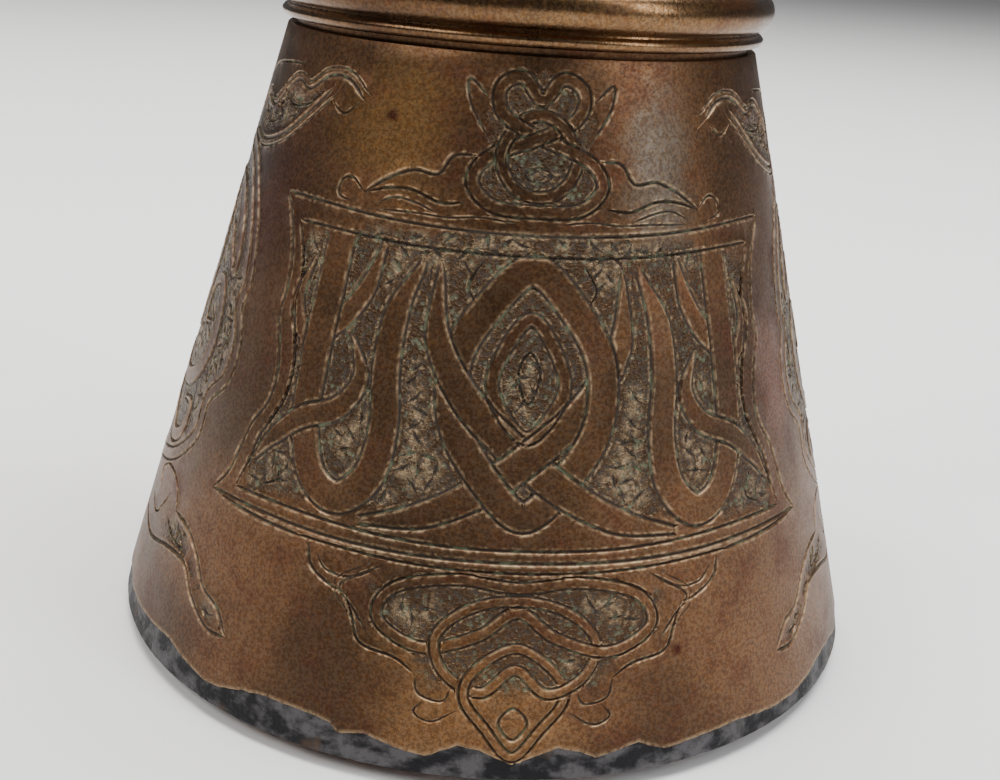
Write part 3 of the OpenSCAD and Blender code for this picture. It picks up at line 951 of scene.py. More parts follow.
class CartouchePanel(Drawing):
    """A framed field of strapwork, with a knot above it and a pendant below it."""

    def draw(self) -> None:
        """Draws the whole panel."""
        self.frame()
        self.strapwork()
        self.knot()
        self.leaves()
        self.pendant()
        self.weave()
        self.chips(11, 2.9, 0.95)

    def frame(self) -> None:
        """The bracketed frame of double lines."""
        outer = [(53, 88.2), (49.6, 83.5), (47.4, 78.5), (46.8, 73), (47.3, 69), (45.6, 64.5), (44.4, 59.5),
                 (45.2, 54.5), (47.8, 50.2), (49.2, 45.5), (50.6, 41), (53.6, 36.9)]
        inner = [(47.6, 84.4), (45.2, 80.5), (43.8, 76), (43.9, 71.5), (42.4, 66.5), (41.2, 61.5),
                 (41.6, 56.5),
                 (43.6, 52.2), (45.6, 48.4), (46.6, 44), (48.2, 39.2)]
        self.line(outer, 0.85, both=True)
        self.line(inner, 0.7, both=True)
        self.line([(-53, 88.2), (-25, 87.5), (0, 87.2), (25, 87.5), (53, 88.2)], 0.85, both=False)
        self.line([(-47.6, 84.4), (-22, 84.1), (0, 84.0), (22, 84.1), (47.6, 84.4)], 0.8, both=False)
        self.line([(-48.2, 39.3), (-20, 39.1), (0, 39.0), (20, 39.1), (48.2, 39.3)], 0.8, both=False)
        self.line([(-53.6, 36.9), (-25, 37.0), (0, 37.1), (25, 37.0), (53.6, 36.9)], 0.9, both=False)
        self.line([(-34, 35.9), (-16, 35.6), (0, 35.5), (16, 35.6), (34, 35.9)], 0.7, both=False)
        self.line([(33, 35.8), (42, 36.1), (51, 36.5)], 0.9)
        side = inner[1:-1]
        outline = [(-u, z) for u, z in side] + [(-45.5, 39.6), (45.5, 39.6)] + side[::-1] + [(43, 83.4),
                                                                                             (-43, 83.4)]
        self.fields.append(self.flat(outline))

    def strapwork(self) -> None:
        """Broad straps: tall bars that turn at the foot, a pointed ring, long sweeps and side branches."""
        self.strap([(36.6, 82.6), (36.9, 74), (37.2, 64), (36.6, 54), (33.6, 46), (28.4, 43.4), (23.8, 48),
                    (22.6, 56), (23.6, 65), (23, 74), (19.6, 81.4)],
                   [2.8, 2.9, 3.0, 2.9, 2.8, 2.8, 2.8, 2.6, 2.5, 2.2, 0.7])
        self.strap(both_halves([(0, 82), (7, 76.5), (12, 68), (11.4, 58), (6, 49.6), (0, 44.2)]),
                   [2.5, 2.7, 2.5, 2.7, 2.5], closed=True, both=False)
        self.strap([(-24, 40.8), (-15, 43.2), (-6.4, 48), (2, 54.6), (9.6, 61.5), (15.4, 70.5), (16.2, 80.5)],
                   [0.7, 2.2, 2.7, 2.7, 2.6, 2.2, 0.6])
        self.strap([(27.4, 83), (29.6, 76), (34, 70.4), (40, 67.2), (43.4, 72.4), (41.6, 79)],
                   [0.6, 1.7, 2.0, 1.7, 1.2, 0.4])
        self.strap([(45.4, 45.2), (42.4, 49.6), (37.4, 54.2), (31, 57.2), (27.8, 62.4), (30, 68)],
                   [0.5, 1.7, 2.0, 2.0, 1.6, 0.5])
        self.strap(both_halves([(0, 74.6), (4.6, 69), (5.6, 63), (0, 56.4)]), [1.1], closed=True, both=False,
                   line=0.7)
        self.line([(0, 69.6), (1.8, 66), (0, 61.6), (-1.8, 66)], 0.6, 0.3, True, False)
        self.line([(41.4, 60.8), (38.8, 62.6)], 0.6, 0.3)
        self.line([(43, 41.2), (39.6, 43.4), (40.6, 46.4)], 0.6, 0.3)
        self.line([(9, 82.8), (11.2, 79.2), (9.6, 76.4)], 0.6, 0.3)

    def knot(self) -> None:
        """The interlaced knot over the frame."""
        self.strap(both_halves([(0, 90.8), (8, 91.2), (12.4, 94.6), (9.6, 98.6), (0, 101.8), (-7.4, 105),
                                (-8.4, 109), (-4, 110.7), (0, 107.4)]), [1.05], closed=True, both=False,
                                line=0.65)
        self.strap(both_halves([(0, 105.2), (4.6, 103.4), (7.4, 98.8), (4.8, 94.4), (0, 92.9)]), [0.95],
                   closed=True, both=False, line=0.6)
        self.line([(10.4, 101.6), (14.2, 106.2), (15, 110), (10.8, 107.4)], 0.7, 0.28)
        self.line([(0, 97.4), (2.6, 96.2), (0, 95), (-2.6, 96.2)], 0.5, 0.22, True, False)
        outline = [(0, 111.2), (9, 110.8), (10.2, 105), (9, 101), (13.6, 95), (9, 90.4), (0, 89.8)]
        self.fields.append(self.flat(both_halves(outline)))

    def leaves(self) -> None:
        """The split leaves that run out from the knot along the frame."""
        self.line([(11.6, 98.6), (16.4, 98.2), (19, 95.2), (24, 95.4), (29, 93.6), (33.6, 90.9)], 0.8)
        self.line([(13.2, 91.4), (18, 91), (23.6, 92.4), (28.4, 92.2), (33.6, 90.9)], 0.65)
        self.line([(33.6, 90.9), (36.6, 92.8), (39, 92.2), (39.2, 89.9), (36.4, 89.2)], 0.65)
        self.line([(18.4, 89.4), (23, 90.6), (27, 90.9), (30.4, 89.6)], 0.6, 0.26)
        self.line([(4, 88.9), (10, 89.4), (16, 88.9), (22, 89), (30, 88.7)], 0.5, 0.22)

    def pendant(self) -> None:
        """The hanging tracery that ends in a drop."""
        self.strap(both_halves([(0, 33.2), (9, 34), (17.6, 31.4), (19.4, 26.2), (13, 22.8), (5.4, 25.4),
                                (0, 29.4)]), [0.95], closed=True, both=False, line=0.6)
        self.strap(both_halves([(0, 31.2), (6.6, 29.6), (11, 25), (9.6, 19.4), (4.4, 16.6), (0, 20.4)]),
                   [0.85],
                   closed=True, both=False, line=0.6)
        self.line([(31.8, 35.6), (30.6, 31.8), (27, 29.6), (24.6, 29.2)], 0.75)
        self.line([(24.6, 29.2), (23, 25.4), (21.4, 21.8), (16.4, 20.6), (13.4, 18.6)], 0.7)
        self.line([(19.6, 34.6), (24, 31.8), (28, 31.8), (30, 34)], 0.6, 0.26)
        self.line([(13.4, 18.6), (12.6, 15.6), (9.4, 14.8), (8.4, 17)], 0.55, 0.26)
        self.strap(both_halves([(0, 23.8), (5.4, 20), (6.6, 15.6), (3.6, 11), (0, 6.6)]), [0.8], closed=True,
                   both=False, line=0.6)
        self.line([(0, 14.4), (1.9, 12), (0, 9.4), (-1.9, 12)], 0.7, 0.34, True, False)
        self.line([(7.6, 13.4), (10.6, 11.4), (13, 12.6), (11.8, 14.6)], 0.55, 0.26)
        self.line([(21.4, 33.4), (25.6, 30), (23, 26.8), (20.8, 23.8)], 0.6, 0.28, twin=1.1)
        outline = [(0, 34.6), (14, 34.4), (20.4, 30.8), (20.4, 25), (13.4, 21.4), (10.8, 18), (4.4, 15.6),
                   (0, 18.2)]
        self.fields.append(self.flat(both_halves(outline)))


class MedallionPanel(Drawing):
    """A lobed medallion of leaf scrolls, with a spray above it and another below it."""

    def draw(self) -> None:
        """Draws the whole panel."""
        self.medallion()
        self.scrolls()
        self.sprays()
        self.weave()
        self.chips(23, 2.9, 0.95)

    def medallion(self) -> None:
        """The double outline with its lobes."""
        half = [(0, 95.4), (8, 93.4), (16.6, 91.2), (24.4, 85), (29, 78), (31, 71.4), (30, 67), (32.8, 61.4),
                (31.8, 54.6), (27.2, 49.6), (26.6, 42.8), (20.8, 37), (12.6, 33), (0, 29.6)]
        ring = both_halves(half)
        self.strap(ring, [1.25], closed=True, both=False, line=0.75)
        middle = 62.5
        inner = [(u * 0.93, middle + (z - middle) * 0.92) for u, z in ring]
        self.fields.append(self.flat(inner))

    def scrolls(self) -> None:
        """Leaf scrolls round a pointed ring."""
        self.strap(both_halves([(0, 85.6), (6.4, 79), (8.8, 70), (5.6, 61.6), (0, 56)]), [1.7], closed=True,
                   both=False)
        self.strap([(0, 52), (9, 48), (18.4, 51.6), (22.6, 60), (19, 68.4), (12.8, 66.6), (13.4, 60.4),
                    (17, 60.6)],
                   [0.6, 1.7, 1.9, 1.8, 1.6, 1.3, 0.9, 0.4])
        self.strap([(4.6, 87), (13.6, 84.6), (21, 78), (23.4, 71.4), (19.4, 73.6), (14.6, 78.4)],
                   [0.5, 1.6, 1.9, 1.4, 1.0, 0.4])
        self.strap([(0, 46.4), (7, 42), (13, 37.6), (19, 40.4), (19.6, 45.6), (14.8, 45.4)],
                   [0.6, 1.4, 1.6, 1.4, 1.1, 0.4])
        self.line([(0, 76.4), (2.9, 71), (0, 65.4), (-2.9, 71)], 0.6, 0.26, True, False)
        self.line([(26.6, 57.4), (28.6, 61.6), (26.4, 65.6)], 0.6, 0.26)

    def sprays(self) -> None:
        """The long leaves over and under the medallion."""
        self.line([(6, 97.4), (12, 101.6), (20, 100.6), (29, 105.6), (35, 104.8), (41.4, 107.6),
                   (47.4, 107.4),
                   (52.4, 104.6)], 0.95, twin=1.3)
        self.line([(10, 95.4), (20, 94.6), (29.6, 97), (37, 101.4), (43.2, 105.8)], 0.95, twin=-1.3)
        for side in (-1, 1):
            leaf = [(12, 96.6), (20, 95.8), (29, 98), (36, 101.8), (41, 105.2), (35, 103.6), (29, 104.2),
                    (20.6, 99.4), (13, 100.2)]
            self.fields.append(self.flat([(u * side, z) for u, z in leaf]))
            leaf = [(45.6, 15.6), (42.4, 15.6), (38.4, 18.4), (34, 22.8), (27.6, 22.8), (20, 20.6), (26, 27),
                    (32, 26.4), (36, 23.4), (39.6, 19.6)]
            self.fields.append(self.flat([(u * side, z) for u, z in leaf]))
        self.line([(43.6, 103.8), (47.6, 102.2), (51.4, 104.4)], 0.6)
        self.line([(22.6, 104.6), (28.4, 101.8), (35.4, 102.4), (39.4, 104.6)], 0.6)
        self.line([(14.6, 99), (19.8, 97.6), (25.6, 99.4), (20.4, 102.2)], 0.6)
        self.line([(4, 103.4), (12, 106.8), (22, 108), (30, 108.4)], 0.6)
        self.line([(47, 14.8), (44, 18.6), (40, 20.4), (36.6, 24.6), (32, 27.6), (27, 28.2)], 0.95)
        self.line([(47, 14.8), (42.6, 14.5), (37.8, 17.6), (33.6, 21.8), (27, 21.6), (18, 19.2), (8, 20.4)],
                  0.95)
        self.line([(27, 28.2), (24.4, 32.4), (18.6, 33.2), (14, 30.6), (16.4, 27.4)], 0.7)
        self.line([(28.8, 26.2), (31.6, 23.6), (27, 23.8), (24.2, 25.4)], 0.6)
        self.line([(12, 24.4), (17.4, 23.4), (20.2, 26), (22.6, 29.4)], 0.6)


@dataclass
class EngravedBody:
    """The conical lower body: an engraved sheet with a ragged lower edge and a turned-in shoulder."""

    cone: Cone
    top: float
    collar_r: float
    collar_top: float
    wall: float
    panel_turn: float = 5.0
    around: int = 720
    field_depth: float = 0.2
    burr_height: float = 0.07
    grid: float = 2.6

    # How far a cut's burr reaches, in half widths of the cut
    BURR = 1.9
    # Turns on either side of -Y within which the ragged lower edge follows the places below
    FRONT = 60
    # Height over which the lower edge is worn and painted with a highlight
    WORN_AND_HIGHLIT = 0.7
    # Heights of the ragged lower edge, for the turns at which it changes
    EDGE = [(-60, 7.6), (-55, 7.9), (-50, 8.4), (-46, 7.3), (-40, 6.2), (-37, 6.6), (-33, 8.0), (-29, 8.8),
            (-22, 8.7), (-19, 8.2), (-17.6, 6.9), (-14, 7.8), (-10, 6.6), (-6, 5.9), (-2, 8.1), (1, 7.6),
            (5, 5.5),
            (8, 6.8), (11, 8.1), (14, 7.2), (16, 6.1), (22, 7.7), (24, 6.6), (26, 5.8), (31, 6.3), (38, 6.7),
            (46, 5.7), (51, 5.6), (56, 6.3), (60, 7.3)]

    def edge_height(self, turn: float) -> float:
        """Height of the lower edge at a turn in degrees.

        Args:
            turn: degrees round the axis from -Y towards +X.

        Returns:
            The height.
        """
        turn = (turn + 180) % 360 - 180
        ragged = noise.noise(Vector((turn * 0.9, 3.1, 0))) * 0.16
        if abs(turn) <= self.FRONT:
            turns, heights = zip(*self.EDGE)
            return float(np.interp(turn, turns, heights)) + ragged
        angle = math.radians(turn)
        place = Vector((math.sin(angle), math.cos(angle), 0)) * 5
        swing = noise.noise(place) * 1.6 + noise.noise(place * 3.1) * 0.9
        blend = min(1.0, (abs(turn) - self.FRONT) / 6)
        end = self.EDGE[-1][1] if turn > 0 else self.EDGE[0][1]
        return end + (min(8.8, max(5.5, 6.9 + swing)) - end) * blend + ragged

    def panels(self) -> list[Drawing]:
        """Draws a panel for each quarter of the body.

        The second cartouche is drawn at a turn that the unrolled sheet does not reach, so nothing of it
        is cut, and the back of the body stays plain.

        Returns:
            The panels.
        """
        made: list[Drawing] = []
        for quarter, kind in enumerate((CartouchePanel, MedallionPanel) * 2):
            turn = self.panel_turn + 90 * quarter
            panel = kind(self.cone, turn if turn < 180 else turn - 360)
            panel.draw()
            made.append(panel)
        return made

    def seam(self) -> np.ndarray:
        """Turns and heights of the line at the back along which the sheet is cut to be unrolled.

        Returns:
            One row for each point, from the lower edge up.
        """
        corners = [(222, self.edge_height(222)), (222, 28), (241, 37), (236, 60), (241, 88), (229, 97),
                   (220, 103),
                   (219, self.top)]
        rows: list[Point] = []
        for (turn, height), (next_turn, next_height) in zip(corners, corners[1:]):
            count = max(2, int(math.hypot(next_height - height, next_turn - turn) / 1.3))
            rows += [(turn + (next_turn - turn) * i / count, height + (next_height - height) * i / count)
                     for i in range(count)]
        return np.array(rows + [corners[-1]])

    def sheet(self) -> tuple[np.ndarray, np.ndarray, dict[str, np.ndarray], list[int], list[int]]:
        """Meshes the engraved side.

        Returns:
            Its places in space, its triangles, its painted numbers, and the loops of its two edges.
        """
        panels = self.panels()
        seam = self.seam()
        part = 360 / self.around
        low_turns = np.arange(self.around + 1) * part + seam[0, 0] - 360
        top_turns = np.arange(self.around + 1) * part + seam[-1, 0] - 360
        low_heights = np.array([self.edge_height(turn) for turn in low_turns])
        low = self.cone.unroll(low_turns, low_heights)
        lip = self.cone.unroll(low_turns[1:-1], low_heights[1:-1] + self.WORN_AND_HIGHLIT)
        high = self.cone.unroll(top_turns, np.full(len(top_turns), self.top))
        right = self.cone.unroll(seam[1:-1, 0], seam[1:-1, 1])
        left = self.cone.unroll(seam[1:-1, 0] - 360, seam[1:-1, 1])
        outline = np.concatenate([low, right, high[::-1], left[::-1]])
        points: list[np.ndarray] = [outline, lip]
        edges = [(i, (i + 1) % len(outline)) for i in range(len(outline))]
        edges += [(len(outline) + i, len(outline) + i + 1) for i in range(len(lip) - 1)]
        total = len(outline) + len(lip)
        middles, spans, depths = [], [], []
        for cut in (cut for panel in panels for cut in panel.cuts):
            sides = normals_of(cut.path, cut.closed) * cut.width[:, None] / 2
            for lane in (-1.0, 0.0, 1.0) if cut.chip else (-self.BURR, -1.0, 0.0, 1.0, self.BURR):
                count = len(cut.path)
                points.append(cut.path + sides * lane)
                edges += [(total + i, total + i + 1) for i in range(count - 1)]
                if cut.closed:
                    edges.append((total + count - 1, total))
                total += count
            middles.append(cut.path)
            spans.append(cut.width / 2)
            depths.append(cut.depth * cut.width / cut.width.max())
        points.append(self.filling(np.concatenate(points), outline))
        corners = [Vector(point) for point in np.concatenate(points).tolist()]
        found, _, faces, origins, _, _ = delaunay_2d_cdt(corners, edges, [], 0, 1e-4)
        flat = np.array([tuple(place) for place in found])
        triangles = np.array(faces)
        a, b, c = (flat[triangles[:, i]] for i in range(3))
        area = (b[:, 0] - a[:, 0]) * (c[:, 1] - a[:, 1]) - (b[:, 1] - a[:, 1]) * (c[:, 0] - a[:, 0])
        keep = inside((a + b + c) / 3, outline) & (np.abs(area) > 1e-7)
        triangles, area = triangles[keep], area[keep]
        triangles[area < 0] = triangles[area < 0][:, ::-1]

        deep, paint = self.depths(flat, panels, np.concatenate(middles), np.concatenate(spans),
                                  np.concatenate(depths))
        # The ragged lower edge is painted brighter: worn metal with a painted highlight on the sheet's edge
        paint["edge"] = self.worn_edge_and_highlight(flat)
        space = self.cone.roll(flat, deep)

        place_of = {source: index for index, sources in enumerate(origins) for source in sources}
        count, side = self.around + 1, len(right)
        low_loop = [place_of[i] for i in range(count)]
        high_loop = [place_of[count + side + i] for i in range(count)][::-1]
        right_side = [place_of[count + i] for i in range(side)]
        left_side = [place_of[2 * count + side + i] for i in range(side)][::-1]
        joined = dict(zip(right_side, left_side))
        joined[low_loop[-1]] = low_loop[0]
        joined[high_loop[-1]] = high_loop[0]
        triangles = np.vectorize(lambda index: joined.get(index, index))(triangles)
        LOG.info("engraved sheet: %d places, %d triangles", len(flat), len(triangles))
        loops = (self.from_front(loop[:-1], space) for loop in (low_loop, high_loop))
        return space, triangles, paint, *loops

    @staticmethod
    def from_front(loop: list[int], space: np.ndarray) -> list[int]:
        """A loop that starts at the front, where x is 0 and y is least.

        Args:
            loop: indices of the points round an edge.
            space: where every point is.

        Returns:
            The same loop from its new start.
        """
        start = int(np.argmin([space[index][1] for index in loop]))
        return loop[start:] + loop[:start]

    def filling(self, taken: np.ndarray, outline: np.ndarray) -> np.ndarray:
        """Points that fill the plain metal between the lines.

        Args:
            taken: the places of the lines' points.
            outline: the edge of the sheet.

        Returns:
            The points.
        """
        low, high = outline.min(0), outline.max(0)
        rows = []
        for row, y in enumerate(np.arange(low[1], high[1], self.grid * 0.87)):
            xs = np.arange(low[0] + (row % 2) * self.grid / 2, high[0], self.grid)
            rows.append(np.stack([xs, np.full(len(xs), y)], -1))
        spots = np.concatenate(rows)
        spots = spots[inside(spots, outline)]
        tree = tree_of(taken.tolist())
        return np.array([spot for spot in spots.tolist() if tree.find((*spot, 0))[2] > 1.0])

    def depths(self, flat: np.ndarray, panels: list[Drawing], middles: np.ndarray, spans: np.ndarray,
               depths: np.ndarray) -> tuple[np.ndarray, dict[str, np.ndarray]]:
        """How far each place is sunk, and what is painted on it.

        Args:
            flat: places on the sheet.
            panels: the drawn panels.
            middles: points along the middle of every cut.
            spans: half the cut's width at each of them.
            depths: the cut's depth at each of them.

        Returns:
            The depths, and the numbers for the cuts and the sunk ground.
        """
        tree = tree_of(middles.tolist())
        cut, depth, burr = np.zeros(len(flat)), np.zeros(len(flat)), np.zeros(len(flat))
        for index, (x, y) in enumerate(flat.tolist()):
            for _, near, gap in tree.find_n((x, y, 0), 3):
                part = 1 - gap / max(spans[near], 1e-6)
                if part * depths[near] > depth[index]:
                    cut[index], depth[index] = part, part * depths[near]
                elif part > 1 - self.BURR and spans[near] > 0.2:
                    burr[index] = max(burr[index], min(1.0, 1 + part / (self.BURR - 1)))
        ground = np.zeros(len(flat), bool)
        for panel in panels:
            field_ = panel.in_fields(flat)
            spots = np.flatnonzero(field_)
            ground[spots] |= ~panel.on_strap(flat[spots], 0.1)
        # The burr beside each cut is raised a little, and the finish paints it as rubbed metal with a painted
        # highlight
        burr *= cut < 0.05
        depth += ground * self.field_depth - burr * self.burr_height
        return depth, {"cut": cut, "ground": ground.astype(float), "burr": burr}

    def worn_edge_and_highlight(self, flat: np.ndarray) -> np.ndarray:
        """How near each place is to the ragged lower edge, which is painted as rubbed metal with a highlight.

        Args:
            flat: places on the sheet.

        Returns:
            1 at the edge, falling to 0 above it.
        """
        reach = np.hypot(flat[:, 0], flat[:, 1])
        turn = np.degrees(np.arctan2(flat[:, 0], -flat[:, 1]) / self.cone.spread)
        height = self.cone.apex - reach / self.cone.slant
        low = np.where(height < 12)[0]
        # Worn metal that also carries a painted highlight, fading out above the edge
        worn = np.zeros(len(flat))
        for index in low:
            worn[index] = max(0.0, 1 - (height[index] - self.edge_height(float(turn[index]))) / self.WORN_AND_HIGHLIT)
        return worn

    def build(self) -> bpy.types.Object:
        """Joins the engraved side to the rolled shoulder, the collar and the inner wall."""
        space, triangles, paint, low_loop, high_loop = self.sheet()
        inner = self.wall * self.cone.slant
        waist = self.cone.foot_r - self.cone.lean * self.top
        collar_in = self.collar_r - self.wall
        turns = np.arctan2(space[high_loop][:, 0], -space[high_loop][:, 1])
        low_heights = space[low_loop][:, 2]
        shoulder = self.top - self.wall
        rims = [(waist - 0.15, self.top + 0.2), (waist - 0.45, self.top + 0.32),
                (waist - 0.9, self.top + 0.3),
                (self.collar_r, self.top + 0.1), (self.collar_r, self.collar_top),
                (collar_in, self.collar_top),
                (collar_in, shoulder), (waist - inner, shoulder)]
        loops, places, total = [high_loop], [space], len(space)
        for radius, height in rims:
            ring = np.stack([radius * np.sin(turns), -radius * np.cos(turns), np.full(len(turns), height)],
                            -1)
            places.append(ring)
            loops.append(list(range(total, total + len(ring))))
            total += len(ring)
        low_turns = np.arctan2(space[low_loop][:, 0], -space[low_loop][:, 1])
        radii = self.cone.foot_r - self.cone.lean * low_heights - inner
        places.append(np.stack([radii * np.sin(low_turns), -radii * np.cos(low_turns), low_heights], -1))
        loops += [list(range(total, total + len(low_loop))), low_loop]
        faces = triangles.tolist()
        for lower, upper in zip(loops, loops[1:]):
            for i in range(self.around):
                j = (i + 1) % self.around
                faces.append([lower[i], lower[j], upper[j], upper[i]])
        mesh = bpy.data.meshes.new("engraved_body")
        mesh.from_pydata((np.concatenate(places) * MM).tolist(), [], faces)
        for name, numbers in paint.items():
            layer = mesh.attributes.new(name, "FLOAT", "POINT")
            full = np.zeros(len(mesh.vertices))
            full[:len(numbers)] = numbers
            layer.data.foreach_set("value", full)
        return finished("engraved_body", mesh, 24)


def finished(name: str, mesh: bpy.types.Mesh, sharp: float = 35) -> bpy.types.Object:
    """Cleans and smooths a mesh and puts it in the scene.

    Args:
        name: the piece's name.
        mesh: its mesh, in metres.
        sharp: the angle in degrees from which its edges look sharp.

    Returns:
        The new object.
    """
    work = bmesh.new()
    work.from_mesh(mesh)
    bmesh.ops.delete(work, geom=[vert for vert in work.verts if not vert.link_faces], context="VERTS")
    bmesh.ops.recalc_face_normals(work, faces=work.faces)
    work.to_mesh(mesh)
    work.free()
    mesh.shade_smooth()
    mesh.set_sharp_from_angle(angle=math.radians(sharp))
    made = bpy.data.objects.new(name, mesh)
    bpy.context.scene.collection.objects.link(made)
    LOG.info("%s: %d faces", name, len(mesh.polygons))
    return made


def from_bmesh(name: str, work: bmesh.types.BMesh, sharp: float = 35) -> bpy.types.Object:
    """Turns a bmesh in millimetres into a finished piece.

    Args:
        name: the piece's name.
        work: its shape, which is freed.
        sharp: the angle in degrees from which its edges look sharp.

    Returns:
        The new object.
    """
    bmesh.ops.scale(work, vec=(MM, MM, MM), verts=work.verts)
    mesh = bpy.data.meshes.new(name)
    work.to_mesh(mesh)
    work.free()
    return finished(name, mesh, sharp)


def turned(name: str, profile: Sequence[Point], segments: int = 192, sharp: float = 35,
           wobble: float = 0.0, closed: bool = True) -> bpy.types.Object:
    """A piece turned from a profile of radius and height.

    Args:
        name: its name.
        profile: radius and height, in millimetres, of its outline.
        segments: how many steps round the axis.
        sharp: the angle from which its edges look sharp.
        wobble: how uneven hand work left it, in millimetres.
        closed: whether the outline returns to its start; an open one starts and ends on the axis.

    Returns:
        The piece.
    """
    work = bmesh.new()
    verts = [work.verts.new((radius, 0, height)) for radius, height in profile]
    after = verts[1:] + verts[:1] if closed else verts[1:]
    edges = [work.edges.new(pair) for pair in zip(verts, after)]
    bmesh.ops.spin(work, geom=verts + edges, cent=(0, 0, 0), axis=(0, 0, 1), angle=math.tau, steps=segments,
                   use_merge=True)
    bmesh.ops.remove_doubles(work, verts=work.verts, dist=0.001)
    if wobble:
        for vert in work.verts:
            outward = Vector((vert.co.x, vert.co.y, 0))
            if outward.length > 0.1:
                vert.co += outward.normalized() * noise.noise(vert.co * 0.07) * wobble
                vert.co.z += noise.noise(vert.co * 0.05 + Vector((9, 0, 0))) * wobble * 0.6
    return from_bmesh(name, work, sharp)


# ---------------------------------------------------------------------------
# The pot's other pieces
# ---------------------------------------------------------------------------


@dataclass(frozen=True)
class HeelCurve:
    """The pan's rounded heel, which tucks in far under the pot."""

    x: float
    z: float
    radius: float
    tuck: float = 6.0

    def at(self, angle: float, inset: float = 0.0) -> Point:
        """A place on the heel.

        Args:
            angle: degrees above the level of its centre.
            inset: how far inside the surface.

        Returns:
            Its radius and height.
        """
        turn, reach = math.radians(angle), self.radius - inset
        if angle > 0:
            return self.x + reach * math.cos(turn), self.z + reach * math.sin(turn)
        return self.x - self.tuck + (reach + self.tuck) * math.cos(turn), self.z + reach * math.sin(turn)


@dataclass
class Seam:
    """The solder that fills the step under the body's ragged edge."""

    body: EngravedBody
    heel: HeelCurve
    recess: float = 0.42
    segments: int = 360

    def build(self) -> bpy.types.Object:
        """A lumpy ring of solder, with its upper edge under the sheet."""
        rows = []
        for i in range(self.segments):
            turn = i * 360 / self.segments
            angle = math.radians(turn)
            spot = Vector((math.sin(angle), math.cos(angle), 0))
            lumps = noise.noise(spot * 14) * 0.16 + noise.noise(spot * 40) * 0.1
            drip = noise.noise(spot * 9 + Vector((4, 0, 0))) * 7
            rows.append(self.section(self.body.edge_height(turn), lumps, drip))
        work = bmesh.new()
        rings = []
        for i, row in enumerate(rows):
            angle = math.tau * i / self.segments
            rings.append([work.verts.new((radius * math.sin(angle), -radius * math.cos(angle), height))
                          for radius, height in row])
        for ring, after in zip(rings, rings[1:] + rings[:1]):
            for a, b, c, d in zip(ring, ring[1:] + ring[:1], after[1:] + after[:1], after):
                work.faces.new((a, b, c, d))
        return from_bmesh("lumpy_solder", work, 60)

    def section(self, edge: float, lumps: float, drip: float) -> list[Point]:
        """The ring's outline at one turn.

        Args:
            edge: height of the sheet's lower edge.
            lumps: how far it bulges.
            drip: how much lower it ran, in degrees round the heel.

        Returns:
            Radius and height of its points.
        """
        cone = self.body.cone
        lean = math.degrees(math.atan(cone.lean))
        z = self.heel.z
        arc = [self.heel.at(float(angle), 0.05) for angle in np.linspace(-36 + drip, lean, 8)]
        inner = (cone.foot_r - cone.lean * edge - self.body.wall * cone.slant + 0.05, edge)
        face = [(cone.foot_r - cone.lean * height - self.recess + bulge, height) for height, bulge in (
            (edge, 0.0), (edge - 0.3, -0.1), ((edge + z) / 2, lumps * 0.7 - 0.08), (z + 0.6, lumps),
            (z - 0.7, lumps * 0.6))]
        return arc + [inner] + face


@dataclass
class WaistRing:
    """The moulded ring over the joint between the two bodies."""

    low: float
    high: float
    collar_r: float
    lip_r: float
    bead_r: float

    def build(self) -> bpy.types.Object:
        """A thin lip under a fat bead, with a narrow groove between them."""
        lip = self.low + 2.2
        bead = (lip + 0.5 + self.high) / 2
        half = (self.high - lip - 0.5) / 2
        profile = [(self.collar_r, self.low), (self.lip_r - 1.1, self.low),
                   (self.lip_r - 0.4, self.low + 0.3),
                   (self.lip_r, self.low + 1.0), (self.lip_r, self.low + 1.4),
                   (self.lip_r - 0.4, self.low + 1.9),
                   (self.lip_r - 0.9, lip), (self.lip_r - 1.0, lip + 0.3)]
        for i in range(13):
            angle = math.radians(-78 + 156 * i / 12)
            profile.append((self.bead_r - 2.6 + 2.6 * math.cos(angle), bead + half * math.sin(angle)))
        profile += [(self.collar_r + 0.6, self.high), (self.collar_r, self.high)]
        return turned("moulded_ring", profile, 256, 40, 0.16)


@dataclass
class Heel:
    """The copper pan under the pot, with a worn round heel."""

    heel: HeelCurve
    sheet: float
    flange_top: float
    cone: Cone
    wall: float

    def build(self) -> bpy.types.Object:
        """A flat plate, a quarter-round heel and a flange inside the body."""
        lean = math.degrees(math.atan(self.cone.lean))
        middle = self.heel.x * 0.5
        flange_r = self.cone.foot_r - self.cone.lean * self.flange_top - self.wall * self.cone.slant
        outer = [self.heel.at(float(angle)) for angle in np.linspace(-90, lean, 16)]
        inner = [self.heel.at(float(angle), self.sheet) for angle in np.linspace(lean, -90, 10)]
        flange = [(flange_r, self.flange_top), (flange_r - self.sheet, self.flange_top)]
        profile = [(0, 0.0), (middle, 0.0)] + outer + flange + inner + [(middle, self.sheet), (0, self.sheet)]
        return turned("heel_pan", profile, sharp=40, closed=False)


